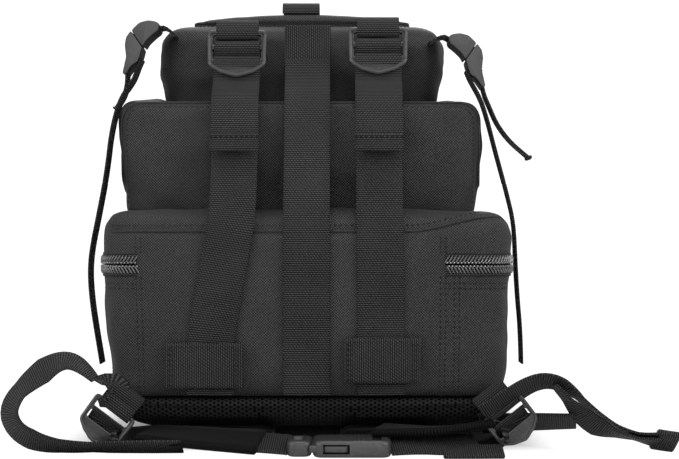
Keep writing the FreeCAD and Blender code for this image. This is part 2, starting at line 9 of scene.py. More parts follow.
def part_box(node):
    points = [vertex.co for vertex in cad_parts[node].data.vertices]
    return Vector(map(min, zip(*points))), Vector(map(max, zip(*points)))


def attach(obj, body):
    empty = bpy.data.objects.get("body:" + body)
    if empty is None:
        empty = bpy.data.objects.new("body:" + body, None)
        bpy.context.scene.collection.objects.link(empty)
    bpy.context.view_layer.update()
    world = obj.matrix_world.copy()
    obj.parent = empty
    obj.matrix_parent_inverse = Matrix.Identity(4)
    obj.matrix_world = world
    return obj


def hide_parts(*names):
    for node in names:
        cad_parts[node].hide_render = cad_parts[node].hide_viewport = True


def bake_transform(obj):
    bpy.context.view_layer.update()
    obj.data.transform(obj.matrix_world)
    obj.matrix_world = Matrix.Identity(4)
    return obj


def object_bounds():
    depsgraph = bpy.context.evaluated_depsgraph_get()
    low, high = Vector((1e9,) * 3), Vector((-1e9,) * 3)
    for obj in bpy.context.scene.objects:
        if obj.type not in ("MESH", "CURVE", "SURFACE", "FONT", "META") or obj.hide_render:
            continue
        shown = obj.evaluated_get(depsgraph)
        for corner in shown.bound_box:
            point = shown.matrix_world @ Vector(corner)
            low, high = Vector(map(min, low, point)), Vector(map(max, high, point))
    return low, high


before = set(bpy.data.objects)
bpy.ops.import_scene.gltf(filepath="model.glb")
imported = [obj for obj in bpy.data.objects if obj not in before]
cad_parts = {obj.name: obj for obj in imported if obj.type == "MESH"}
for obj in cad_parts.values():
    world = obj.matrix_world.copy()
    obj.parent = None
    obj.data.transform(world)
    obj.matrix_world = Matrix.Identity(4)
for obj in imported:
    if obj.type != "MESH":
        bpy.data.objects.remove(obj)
cadLow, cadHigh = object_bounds()
scene = bpy.context.scene
mm = 0.001
xAxis = Vector((1, 0, 0))
yAxis = Vector((0, 1, 0))
zAxis = Vector((0, 0, 1))
print("frame loaded:", len(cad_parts), "nodes")


# camera, lights and floor
view = {"eye": (0.0226, -1.53, 0.153), "lens": 100.8, "sensor": 36}
studio = {
    "world": 0.42, "backdrop": 1.15, "floorHalf": 12, "floorTone": 0.7, "floorGlow": 0.9,
    "lamps": {
        "over": ((0.0, -0.5, 2.3), 1.9, 32), "left": ((-1.9, -1.5, 1.1), 1.3, 26),
        "right": ((2.0, -1.3, 1.2), 1.3, 32), "front": ((0.1, -2.7, 0.9), 1.6, 18),
        "behind": ((0.2, 2.2, 1.7), 1.6, 26),
    },
}


def makeStage():
    eye = bpy.data.objects.new("camera", bpy.data.cameras.new("camera"))
    eye.data.lens = view["lens"]
    eye.data.sensor_width = view["sensor"]
    eye.location = view["eye"]
    eye.rotation_euler = (math.radians(90), 0, 0)
    scene.collection.objects.link(eye)
    scene.camera = eye
    scene.view_settings.view_transform = "Standard"
    world = bpy.data.worlds.new("studio")
    world.use_nodes = True
    tree = world.node_tree
    tree.nodes["Background"].inputs["Color"].default_value = (1, 1, 1, 1)
    rays = tree.nodes.new("ShaderNodeLightPath")
    glow = tree.nodes.new("ShaderNodeMapRange")
    glow.inputs["To Min"].default_value = studio["world"]
    glow.inputs["To Max"].default_value = studio["backdrop"]
    tree.links.new(rays.outputs["Is Camera Ray"], glow.inputs["Value"])
    tree.links.new(glow.outputs["Result"], tree.nodes["Background"].inputs["Strength"])
    scene.world = world
    middle = (cadLow + cadHigh) / 2
    for name, (place, size, power) in studio["lamps"].items():
        lamp = bpy.data.objects.new("lamp-" + name, bpy.data.lights.new(name, "AREA"))
        lamp.data.size = size
        lamp.data.energy = power
        lamp.location = place
        lamp.rotation_euler = (middle - Vector(place)).to_track_quat("-Z", "Y").to_euler()
        scene.collection.objects.link(lamp)
    bm = bmesh.new()
    bmesh.ops.create_grid(bm, x_segments=2, y_segments=2, size=studio["floorHalf"])
    floor = bpy.data.objects.new("floor", bpy.data.meshes.new("floor"))
    bm.to_mesh(floor.data)
    bm.free()
    scene.collection.objects.link(floor)
    paint = Shader("floor_paint")
    tone = paint.node("TexNoise", None, Vector=paint.place(), Scale=3.0)
    pale = paint.mix(tone * 0.3, grey(studio["floorTone"]), grey(studio["floorTone"] * 0.97))
    matt = paint.node("BsdfPrincipled", None, Base_Color=pale, Roughness=0.8)
    glow = paint.node("Emission", None, Color=(1, 1, 1, 1), Strength=studio["backdrop"])
    across, along, up = paint.parts()
    far = (across.math("ABSOLUTE") / 0.19).math("MAXIMUM", along.math("ABSOLUTE") / 0.225)
    open_ = ((far - 0.8) * 6).math("MAXIMUM", 0.0).math("MINIMUM", 1.0)
    share = paint.node("LightPath", None) * open_ * studio["floorGlow"]
    paint.node("OutputMaterial", None, paint.node("MixShader", None, share, matt, glow))
    floor.data.materials.append(paint.material)


# shader maths written as expressions: each operation adds its Math node
class Wire:
    def __init__(self, shader, socket):
        self.shader = shader
        self.socket = socket

    def math(self, operation, *others):
        return self.shader.node("Math", {"operation": operation}, self, *others)

    def __add__(self, other):
        return self.math("ADD", other)

    def __radd__(self, other):
        return self.math("ADD", other)

    def __sub__(self, other):
        return self.math("SUBTRACT", other)

    def __rsub__(self, other):
        return self.shader.node("Math", {"operation": "SUBTRACT"}, other, self)

    def __mul__(self, other):
        return self.math("MULTIPLY", other)

    def __rmul__(self, other):
        return self.math("MULTIPLY", other)

    def __truediv__(self, other):
        return self.math("DIVIDE", other)

    def __abs__(self):
        return self.math("ABSOLUTE")

    def sine(self):
        return self.math("SINE")


class Shader:
    def __init__(self, name):
        self.material = bpy.data.materials.new(name)
        self.material.use_nodes = True
        self.tree = self.material.node_tree
        self.tree.nodes.clear()

    def node(self, kind, settings, *values, out=0, **named):
        made = self.tree.nodes.new("ShaderNode" + kind)
        for key, value in (settings or {}).items():
            if key == "stops":
                for stop, (at, tone) in zip(made.color_ramp.elements, value):
                    stop.position = at
                    stop.color = (tone, tone, tone, 1)
            else:
                setattr(made, key, value)
        given = list(enumerate(values)) + [(k.replace("_", " "), v) for k, v in named.items()]
        for key, value in given:
            if isinstance(value, Wire):
                self.tree.links.new(value.socket, made.inputs[key])
            else:
                made.inputs[key].default_value = value
        return Wire(self, made.outputs[out]) if len(made.outputs) else None

    def place(self):
        return self.node("TexCoord", None, out="Object")

    def parts(self):
        place = self.place()
        return [self.node("SeparateXYZ", None, place, out=i) for i in range(3)]

    def cloth(self):
        # the piece's own map, in metres: across and along
        uv = self.node("UVMap", {"uv_map": "cloth"})
        return self.node("SeparateXYZ", None, uv), self.node("SeparateXYZ", None, uv, out=1)

    def noise(self, scale, detail=2.0, vector=None, distortion=0.0):
        return self.node("TexNoise", None, out="Fac", Vector=vector or self.place(), Scale=scale,
                         Detail=detail, Distortion=distortion)

    def mix(self, mask, first, second):
        made = self.tree.nodes.new("ShaderNodeMix")
        made.data_type = "RGBA"
        for index, value in ((0, mask), (6, first), (7, second)):
            if isinstance(value, Wire):
                self.tree.links.new(value.socket, made.inputs[index])
            elif index == 0:
                made.inputs[index].default_value = value
            else:
                made.inputs[index].default_value = (*value, 1)
        return Wire(self, made.outputs[2])

    def bump(self, height, distance, strength=1.0, normal=None):
        more = {"Normal": normal} if normal else {}
        return self.node("Bump", None, Strength=strength, Distance=distance, Height=height, **more)

    def surface(self, **sockets):
        shine = self.node("BsdfPrincipled", None, **sockets)
        self.node("OutputMaterial", None, shine)
        return self.material


def grey(tone, warmth=0.0):
    return (tone * (1 + warmth), tone, tone * (1 - warmth))


# woven nylon: staggered yarns on the diagonal, their raised tops lighter as painted thread highlights, soft
# mottling and fine creases
fabric = {"pitch": 1.9 * mm, "dark": 0.0, "light": 0.05, "yarn": 0.34 * mm, "crease": 2.2 * mm,
          "shine": 0.2}


def packFabric(name="pack_fabric", values=fabric, gloss=0.5):
    paint = Shader(name)
    across, along = paint.cloth()
    turn = 2 * math.pi / values["pitch"]
    yarns_and_glints = (across * turn).sine() * (along * turn).sine()
    slub = paint.noise(900.0, 2.0)
    mottle = paint.noise(14.0, 3.0)
    height = yarns_and_glints * 0.5 + slub * 0.7
    # the yarn term paints thread highlights into the colour on top of the weave's own pattern; slub and
    # mottle are random tone
    tone = yarns_and_glints * 0.7 + 0.36 + (slub - 0.5) * 1.1 + (mottle - 0.5) * 0.5
    colour = paint.mix(tone.math("MAXIMUM", 0.0).math("MINIMUM", 1.0), grey(values["dark"]),
                       grey(values["light"]))
    creases = paint.bump(paint.noise(26.0, 3.0, distortion=0.6), values["crease"], 0.5)
    yarn = paint.bump(height, values["yarn"], 0.8, creases)
    return paint.surface(Base_Color=colour, Roughness=gloss + 0.16 * slub, Normal=yarn,
                         Specular_IOR_Level=values.get("shine", 0.2), Sheen_Weight=0.03,
                         Sheen_Roughness=0.4)


# ribbed webbing: weft ribs along the strap, each a row of raised picks
webbing = {"rib": 1.5 * mm, "pick": 2.1 * mm, "dark": 0.0, "light": 0.078, "depth": 0.7 * mm}


def webbingWeave(name="webbing", values=webbing, lengthwise=False):
    paint = Shader(name)
    across, along = paint.cloth()
    if lengthwise:
        across, along = along, across
    rib = (along * (2 * math.pi / values["rib"])).sine()
    pick = (across * (2 * math.pi / values["pick"]) + along * (math.pi / values["rib"])).sine()
    fuzz = paint.noise(1400.0, 2.0)
    wear = paint.noise(30.0, 3.0)
    height = rib * 0.5 + pick * 0.28 * (rib * 0.5 + 0.5) + fuzz * 0.5
    tone = (rib * 0.5 + 0.44) * (pick * 0.3 + 0.55) + (fuzz - 0.5) * 0.3
    tone = (tone + (wear - 0.5) * 0.24).math("MAXIMUM", 0.0).math("MINIMUM", 1.0)
    colour = paint.mix(tone, grey(values["dark"]), grey(values["light"]))
    weave = paint.bump(height, values["depth"], 0.9)
    return paint.surface(Base_Color=colour, Roughness=0.5 + 0.2 * fuzz, Normal=weave,
                         Specular_IOR_Level=0.14, Sheen_Weight=0.02)


# spacer mesh: staggered open cells in a knitted net, the cells painted near black as the shade inside them
net = {"cell": 3.2 * mm, "cell_shade": 0.0003, "knit": 0.024, "depth": 0.9 * mm}


def airMesh(name="air_mesh", values=net):
    paint = Shader(name)
    across, along = paint.cloth()
    turn = 4 * math.pi / (math.sqrt(3) * values["cell"])
    waves = [((across * kx + along * ky) * turn + math.pi / 2).sine()
             for kx, ky in ((1, 0), (0.5, 0.866), (0.5, -0.866))]
    holes = (waves[0] + waves[1] + waves[2]) / 3
    thread = paint.noise(1500.0, 2.0)
    knit = (0.75 - holes * 1.7 + (thread - 0.5) * 0.5).math("MAXIMUM", 0.0).math("MINIMUM", 1.0)
    # the open cells take a near-black tone: painted shade inside the mesh openings
    colour = paint.mix(knit, grey(values["cell_shade"]), grey(values["knit"]))
    bumps = paint.bump(knit, values["depth"], 0.9)
    return paint.surface(Base_Color=colour, Roughness=0.62 + 0.2 * thread, Normal=bumps,
                         Specular_IOR_Level=0.08)


# inner lining: fine plain weave with a faint coating
liningValues = {"pitch": 1.0 * mm, "dark": 0.02, "light": 0.05, "yarn": 0.12 * mm,
                "crease": 2.2 * mm}
# padding cloth: its tone is set very dark, painted shade for the pads low under the pack over their own
# black cloth
padValuesPaintedShade = {"pitch": 1.8 * mm, "shine": 0.05, "dark": 0.0, "light": 0.008, "yarn": 0.2 * mm,
             "crease": 0.8 * mm}


# satin moulded plastic with fine grain and faint scuffs
moulded = {"tone": 0.012, "scuff": 0.05, "grain": 0.05 * mm}


def buckleShine(name, values=moulded, gloss=0.3, tone=1.0):
    paint = Shader(name)
    grain = paint.noise(2600.0, 2.0)
    scuffs = paint.noise(160.0, 4.0, distortion=1.4)
    worn = paint.node("ValToRGB", {"stops": [(0.56, 0.0), (0.78, 1.0)]}, scuffs)
    colour = paint.mix(worn * 0.35, grey(values["tone"] * tone), grey(values["scuff"] * tone))
    pits = paint.bump(grain, values["grain"], 0.5)
    return paint.surface(Base_Color=colour, Roughness=gloss + 0.14 * scuffs, Normal=pits,
                         Specular_IOR_Level=0.55)


# glossy nylon coil, its colour streaked with a bright tone as painted highlights
coil = {"tone": 0.006, "painted_glint": 0.24}


def coilShine():
    paint = Shader("zip_chain")
    painted_glint_mask = paint.noise(700.0, 2.0)
    # the bright tone mixed into the black coil is painted highlight
    colour = paint.mix(painted_glint_mask, grey(coil["tone"]), grey(coil["painted_glint"]))
    rough = paint.bump(paint.noise(1800.0), 0.05 * mm, 0.4)
    return paint.surface(Base_Color=colour, Roughness=0.16 + 0.14 * painted_glint_mask, Normal=rough,
                         Specular_IOR_Level=0.8)


# black enamel over cast metal, rubbed through in scattered patches
def enamel():
    paint = Shader("slider_metal")
    rubbed = paint.node("ValToRGB", {"stops": [(0.6, 0.0), (0.72, 1.0)]},
                        paint.noise(240.0, 4.0, distortion=0.8))
    colour = paint.mix(rubbed * 0.5, grey(0.02), grey(0.3))
    rough = paint.bump(paint.noise(900.0), 0.06 * mm, 0.4)
    return paint.surface(Base_Color=colour, Roughness=0.36 - 0.1 * rubbed, Normal=rough,
                         Metallic=rubbed * 0.8, Specular_IOR_Level=0.6)


# waxed sewing thread, twisted
def threadTwist():
    paint = Shader("thread")
    ply = paint.noise(1600.0, 2.0, distortion=1.0)
    colour = paint.mix(ply, grey(0.001), grey(0.02))
    return paint.surface(Base_Color=colour, Roughness=0.45 + 0.2 * ply,
                         Normal=paint.bump(ply, 0.15 * mm, 0.7), Specular_IOR_Level=0.12)


def plasticSheet():
    paint = Shader("frame_plastic")
    haze = paint.noise(60.0, 4.0)
    colour = paint.mix(haze, grey(0.6, 0.02), grey(0.74, 0.02))
    dimple = paint.bump(paint.noise(500.0), 0.1 * mm, 0.4)
    return paint.surface(Base_Color=colour, Roughness=0.42 + 0.2 * haze, Normal=dimple)


makeStage()
finish = {
    "pack_fabric": packFabric(), "lining": packFabric("lining", liningValues, 0.42),
    # the padding takes the darkened values: painted shade
    "strap_pad": packFabric("strap_pad", padValuesPaintedShade, 0.55), "webbing": webbingWeave(),
    "webbing_turned": webbingWeave("webbing_turned", lengthwise=True), "air_mesh": airMesh(),
    "zip_chain": coilShine(), "slider_metal": enamel(), "thread": threadTwist(),
    "buckle_plastic": buckleShine("buckle_plastic", gloss=0.2),
    # the same buckle plastic at twice the tone: the extra lightness paints highlights on lock rims and
    # buckle bodies
    "buckle_painted_highlight": buckleShine("buckle_painted_highlight", gloss=0.34, tone=2.0), "frame_plastic": plasticSheet(),
}
print("stage and finishes made")


# every new piece goes through here
def newPiece(name, bm, finishName, body=None, replaced=(), smooth=40):
    bmesh.ops.recalc_face_normals(bm, faces=bm.faces)
    mesh = bpy.data.meshes.new(name)
    bm.to_mesh(mesh)
    bm.free()
    piece = bpy.data.objects.new(name, mesh)
    scene.collection.objects.link(piece)
    return dress(piece, finishName, body, replaced, smooth)


def dress(piece, finishName, body=None, replaced=(), smooth=40):
    piece.data.materials.clear()
    piece.data.materials.append(finish[finishName])
    piece.data.shade_smooth()
    piece.data.set_sharp_from_angle(angle=math.radians(smooth))
    if replaced:
        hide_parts(*replaced)
    if body:
        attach(piece, body)
    return piece


# the piece's mesh becomes what its modifiers make of it
def settle(piece):
    bpy.context.view_layer.update()
    seen = piece.evaluated_get(bpy.context.evaluated_depsgraph_get())
    made = bpy.data.meshes.new_from_object(seen)
    piece.modifiers.clear()
    old = piece.data
    piece.data = made
    bpy.data.meshes.remove(old)
    return piece


def thicken(piece, thick, offset=0.0, lined=False, even=True):
    wall = piece.modifiers.new("wall", "SOLIDIFY")
    wall.thickness = thick
    wall.offset = offset
    wall.use_even_offset = even and not lined
    wall.use_rim = True
    if lined:
        piece.data.materials.append(finish["lining"])
        wall.material_offset = 1
    return settle(piece)


# flat maps in metres, each face laid on the side of a box that it faces most
def clothMap(mesh):
    count = len(mesh.polygons)
    normals = numpy.zeros(count * 3)
    mesh.polygons.foreach_get("normal", normals)
    totals = numpy.zeros(count, int)
    mesh.polygons.foreach_get("loop_total", totals)
    axis = numpy.repeat(numpy.abs(normals.reshape(-1, 3)).argmax(1), totals)
    corner = numpy.zeros(len(mesh.loops), int)
    mesh.loops.foreach_get("vertex_index", corner)
    points = numpy.zeros(len(mesh.vertices) * 3)
    mesh.vertices.foreach_get("co", points)
    points = points.reshape(-1, 3)[corner]
    across = numpy.where(axis == 0, points[:, 1], points[:, 0])
    along = numpy.where(axis == 2, points[:, 1], points[:, 2])
    layer = mesh.uv_layers.get("cloth") or mesh.uv_layers.new(name="cloth")
    layer.data.foreach_set("uv", numpy.stack([across, along], 1).ravel())


# a smooth line pulled through a route, and the same line in even steps
def pulledLine(name, route):
    curve = bpy.data.curves.new(name, "CURVE")
    curve.dimensions = "3D"
    curve.resolution_u = 14
    spline = curve.splines.new("NURBS")
    spline.points.add(len(route) - 1)
    for knot, place in zip(spline.points, route):
        knot.co = (*place, 1)
    spline.order_u = 3
    spline.use_endpoint_u = True
    bare = bpy.data.objects.new(name, curve)
    mesh = bpy.data.meshes.new_from_object(bare)
    line = [v.co.copy() for v in mesh.vertices]
    bpy.data.objects.remove(bare)
    bpy.data.meshes.remove(mesh)
    return line


def evenly(line, step):
    lengths = [0.0]
    for a, b in zip(line, line[1:]):
        lengths.append(lengths[-1] + (b - a).length)
    count = max(2, math.ceil(lengths[-1] / step))
    even, i = [], 0
    for k in range(count + 1):
        at = lengths[-1] * k / count
        while i < len(line) - 2 and lengths[i + 1] < at:
            i += 1
        span = lengths[i + 1] - lengths[i]
        even.append(line[i].lerp(line[i + 1], (at - lengths[i]) / span if span else 0))
    return even, lengths[-1]


def tangentAt(line, i):
    return (line[min(i + 1, len(line) - 1)] - line[max(i - 1, 0)]).normalized()


def roundEdges(piece, width, segments, angle=30):
    edge = piece.modifiers.new("edge", "BEVEL")
    edge.width = width
    edge.segments = segments
    edge.limit_method = "ANGLE"
    edge.angle_limit = math.radians(angle)
    settle(piece)


# a strip of webbing: side is the way its width runs, or the two ways at its ends
def strap(name, line, wide, side=xAxis, finishName="webbing", body=None, replaced=(),
          thick=1.6 * mm, step=3 * mm, ripple=0.25 * mm, roll=None):
    line, length = evenly(line, step)
    sides = side if isinstance(side, tuple) else (side, side)
    bm = bmesh.new()
    bmesh.ops.create_grid(bm, x_segments=6, y_segments=len(line) - 1, size=0.5)
    layer = bm.loops.layers.uv.new("cloth")
    laid = {}
    for v in bm.verts:
        share = v.co.y + 0.5
        i = round(share * (len(line) - 1))
        forward = tangentAt(line, i)
        way = sides[0].lerp(sides[1], share)
        way = (way - forward * way.dot(forward)).normalized()
        across = v.co.x * wide
        up = way.cross(forward)
        if roll:
            angle = roll(share)
            way, up = (way * math.cos(angle) + up * math.sin(angle),
                       up * math.cos(angle) - way * math.sin(angle))
        wave = noise.noise(Vector((across * 30, share * length * 28, wide * 200)))
        laid[v.index] = (across, share * length)
        v.co = line[i] + way * across + up * (wave * ripple)
    for face in bm.faces:
        for loop in face.loops:
            loop[layer].uv = laid[loop.vert.index]
    piece = newPiece(name, bm, finishName, None, replaced)
    thicken(piece, thick)
    roundEdges(piece, thick * 0.28, 1, 60)
    piece.data.set_sharp_from_angle(angle=math.radians(50))
    if body:
        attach(piece, body)
    return piece


# cords: the two loose tails of the shoulder straps, flat webbing that rolls as it goes
tails = {
    "wide": 25 * mm, "away": -240 * mm, "thick": 1.6 * mm,
    "left": [(-143, 51), (-153, 62), (-166, 65), (-182, 55), (-196, 43), (-203, 29), (-197, 16),
             (-183, 8.6), (-164, 5.6), (-135, 5.2), (-108, 5.4), (-84, 5.6)],
    "right": [(121, 27), (130, 33), (140, 40.5), (150, 47), (160, 50.5), (170, 49.5), (180, 43.5),
              (189, 35.5), (198, 28.5), (208, 21), (220, 15), (233, 11), (252, 8.5)],
    "fold": [(168, 48), (175, 40), (184, 30), (193, 21.5), (205, 15.5), (222, 11.5), (238, 8.5)],
    "lengths": {"left": 0.21, "right": 0.152},
    # roll in degrees at even steps along each tail
    "roll": {"left": (3, 20, 42, 28, 38, 40, 26, 20, 24, 26, 24), "fold": (6, 10, 30, 34, 14, 8, 18),
             "right": (40, 38, 34, 30, 22, 8, 4, 4, 10, 26, 32)},
}


def rollOf(which):
    steps = tails["roll"][which]

    def roll(share):
        at = share * (len(steps) - 1)
        i = min(int(at), len(steps) - 2)
        return math.radians(steps[i] + (steps[i + 1] - steps[i]) * (at - i))

    return roll


def strapTails():
    for side in ("left", "right"):
        route = [Vector((x * mm, tails["away"], z * mm)) for x, z in tails[side]]
        line = pulledLine(side + "_route", route)
        piece = strap(side + "_tail", line, tails["wide"], yAxis, body="shoulder_" + side,
                      replaced=[side + "_tail_webbing"], thick=tails["thick"], ripple=0.1 * mm,
                      roll=rollOf(side))
        length = sum((b - a).length for a, b in zip(line, line[1:]))
        if side == "right":
            under = pulledLine("fold", [Vector((x * mm, tails["away"], z * mm))
                                        for x, z in tails["fold"]])
            strap("right_tail_under", under, tails["wide"] - 1 * mm, yAxis,
                               body="shoulder_right", thick=tails["thick"], roll=rollOf("fold"))
            strap("right_tail_hem", line[-9:], tails["wide"] + 1 * mm, yAxis,
                               body="shoulder_right", thick=4.4 * mm,
                               roll=lambda share: math.radians(31))
        print(side, "tail", round(length, 4))


strapTails()


# soft closed forms, swollen like stuffed cloth between their seams
def soften(bm, edges, width, segments=4):
    return bmesh.ops.bevel(bm, geom=edges, offset=width, offset_type="OFFSET", affect="EDGES",
                           segments=segments, profile=0.5, material=-1, clamp_overlap=True)


def blockForm(low, high):
    bm = bmesh.new()
    bmesh.ops.create_cube(bm, size=1)
    bmesh.ops.scale(bm, vec=high - low, verts=bm.verts)
    bmesh.ops.translate(bm, vec=(high + low) / 2, verts=bm.verts)
    return bm


def edgesAlong(bm, axis):
    return [e for e in bm.edges
            if abs((e.verts[1].co - e.verts[0].co).normalized().dot(axis)) > 0.99]


def edgesAt(bm, axis, place):
    return [e for e in bm.edges if all(abs(v.co.dot(axis) - place) < 1e-6 for v in e.verts)
            and len({round(f.normal.dot(axis), 2) for f in e.link_faces}) > 1]


def roundForm(low, high, corner, top, bottom):
    bm = blockForm(low, high)
    soften(bm, edgesAlong(bm, zAxis), corner, 6)
    bm.normal_update()
    for height, width in ((high.z, top), (low.z, bottom)):
        if width:
            soften(bm, edgesAt(bm, zAxis, height), width, 4)
            bm.normal_update()
    return bm


def remeshed(name, bm, voxel, shape=None):
    mesh = bpy.data.meshes.new(name)
    bm.to_mesh(mesh)
    bm.free()
    piece = bpy.data.objects.new(name, mesh)
    scene.collection.objects.link(piece)
    even = piece.modifiers.new("even", "REMESH")
    even.mode = "VOXEL"
    even.voxel_size = voxel
    settle(piece)
    if shape:
        for v in piece.data.vertices:
            v.co = shape(v.co.copy())
    return piece


def inflate(piece, pressure, cap, held, stiff=12):
    rest = [v.co.copy() for v in piece.data.vertices]
    group = piece.vertex_groups.new(name="held")
    for i, place in enumerate(rest):
        weight = held(place)
        if weight > 0:
            group.add([i], weight, "REPLACE")
    cloth = piece.modifiers.new("cloth", "CLOTH")
    cloth.settings.vertex_group_mass = "held"
    cloth.settings.use_pressure = True
    cloth.settings.uniform_pressure_force = pressure
    cloth.settings.quality = 4
    cloth.settings.tension_stiffness = stiff
    cloth.settings.compression_stiffness = stiff
    cloth.settings.shear_stiffness = 4
    cloth.settings.bending_stiffness = 0.6
    cloth.settings.effector_weights.gravity = 0
    cloth.point_cache.frame_end = 20
    for step in range(1, 21):
        scene.frame_set(step)
    settle(piece)
    scene.frame_set(1)
    for v, place in zip(piece.data.vertices, rest):
        moved = v.co - place
        if moved.length > cap:
            v.co = place + moved.normalized() * cap
    return piece


def subdivided(piece):
    finer = piece.modifiers.new("finer", "SUBSURF")
    finer.levels = 1
    finer.render_levels = 1
    return settle(piece)


# long soft folds: waves whose size differs along the three directions
def crumple(piece, amount, spread, held=lambda place: 0.0, seed=0.0):
    normals = [n.vector.copy() for n in piece.data.vertex_normals]
    for v, normal in zip(piece.data.vertices, normals):
        at = Vector((v.co.x / spread[0], v.co.y / spread[1], v.co.z / spread[2] + seed))
        wave = noise.noise(at) + 0.5 * noise.noise(at * 2.3)
        ridge = 0.5 - min(1.0, abs(noise.noise(at * 0.8 + Vector((7, 3, 1)))) * 5)
        v.co += normal * (wave + 0.55 * ridge) * amount * (1 - held(v.co))


# press a groove of this depth and half width where off() says how far a point is from a seam
def groove(piece, off, depth, half):
    normals = [n.vector.copy() for n in piece.data.vertex_normals]
    for v, normal in zip(piece.data.vertices, normals):
        v.co -= normal * depth * math.exp(-(off(v.co) / half) ** 2)


# cut a form along planes, so that its parts share their edges exactly
def sliced(form, planes):
    bm = bmesh.new()
    bm.from_mesh(form.data)
    for place, normal in planes:
        geometry = list(bm.verts) + list(bm.edges) + list(bm.faces)
        bmesh.ops.bisect_plane(bm, geom=geometry, dist=1e-7, plane_co=place, plane_no=normal)
    return bm


def taken(cut, name, test, finishName, body, replaced, wall=3 * mm, lined=True):
    bm = cut.copy()
    away = [f for f in bm.faces if not test(f.calc_center_median())]
    bmesh.ops.delete(bm, geom=away, context="FACES")
    mesh = bpy.data.meshes.new(name)
    bm.to_mesh(mesh)
    bm.free()
    piece = bpy.data.objects.new(name, mesh)
    scene.collection.objects.link(piece)
    dress(piece, finishName, None, replaced)
    thicken(piece, wall, -1, lined)
    clothMap(piece.data)
    piece.data.shade_smooth()
    piece.data.set_sharp_from_angle(angle=math.radians(55))
    if body:
        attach(piece, body)
    return piece


def treeOf(piece):
    bm = bmesh.new()
    bm.from_mesh(piece.data)
    tree = BVHTree.FromBMesh(bm)
    bm.free()
    return tree


# points of a route pressed onto a surface from outside, a little proud of it
def laidOn(tree, route, direction, lift=0.0):
    found = []
    for place in route:
        hit, normal, face, far = tree.ray_cast(place - direction * 0.15, direction)
        if hit:
            found.append(hit - direction * lift)
    return found


# a round cord or piping along a line
def tube(name, lines, radius, finishName, body=None, closed=False, sides=8):
    bm = bmesh.new()
    for line in lines:
        rings = []
        for i, place in enumerate(line):
            forward = tangentAt(line, i)
            turn = forward.to_track_quat("Z", "Y").to_matrix().to_4x4()
            ring = bmesh.ops.create_circle(bm, cap_ends=False, segments=sides, radius=radius,
                                           matrix=Matrix.Translation(place) @ turn)["verts"]
            rings.append([bm.edges.get((a, b)) for a, b in zip(ring, ring[1:] + ring[:1])])
        for a, b in zip(rings, rings[1:] + (rings[:1] if closed else [])):
            bmesh.ops.bridge_loops(bm, edges=[e for e in a + b if e])
        if not closed:
            for ring in (rings[0], rings[-1]):
                bmesh.ops.contextual_create(bm, geom=[e for e in ring if e])
    return newPiece(name, bm, finishName, body)


# sewn rows: each stitch is a small grain of thread sunk into the cloth
stitch = {"long": 2.5 * mm, "gap": 1.3 * mm, "thick": 0.55 * mm}


def stitches(name, lines, body=None, values=stitch):
    bm = bmesh.new()
    for line in lines:
        even, length = evenly(line, values["long"] + values["gap"])
        for i, place in enumerate(even):
            turn = tangentAt(even, i).to_track_quat("X", "Z").to_matrix().to_4x4()
            size = Matrix.Diagonal((values["long"] / 2, values["thick"], values["thick"] * 0.8, 1))
            bmesh.ops.create_icosphere(bm, subdivisions=1, radius=1,
                                       matrix=Matrix.Translation(place) @ turn @ size)
    return newPiece(name, bm, "thread", body)


def smoothStep(low, high, value):
    t = max(0.0, min(1.0, (value - low) / (high - low)))
    return t * t * (3 - 2 * t)


# main compartment: one swollen form, cut at the zip into a rear shell and a lid
mainForm = {
    "inset": 1.0 * mm, "corner": 24 * mm, "top": 15 * mm, "bottom": 9 * mm, "voxel": 5.6 * mm,
    "pressure": 8.0, "cap": 5 * mm, "band": 7.8 * mm, "taper": 0.035, "seamDrop": 14 * mm,
    "seamRise": 10 * mm, "behindStraps": 0.2 * mm, "foldSpread": (0.045, 0.05, 0.04),
    "fold": 2.4 * mm, "wall": 3 * mm,
}
rearLow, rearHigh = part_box("main_rear_shell")
lidLow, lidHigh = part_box("main_front_shell")
secondLow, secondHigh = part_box("second_shell")
zipHeight = (rearHigh.z + lidLow.z) / 2
chainLow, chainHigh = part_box("rear_zip_half")
zipEnds = (-116 * mm, 95 * mm)


def baseSeamHeight(x):
    # the seam along the lid's lower edge climbs towards the right corner
    return lidHigh.z - mainForm["seamDrop"] + mainForm["seamRise"] * smoothStep(0.07, 0.13, x)


def inBasePanel(place):
    return zipEnds[0] < place.x < zipEnds[1] and place.y < rearLow.y + 0.03


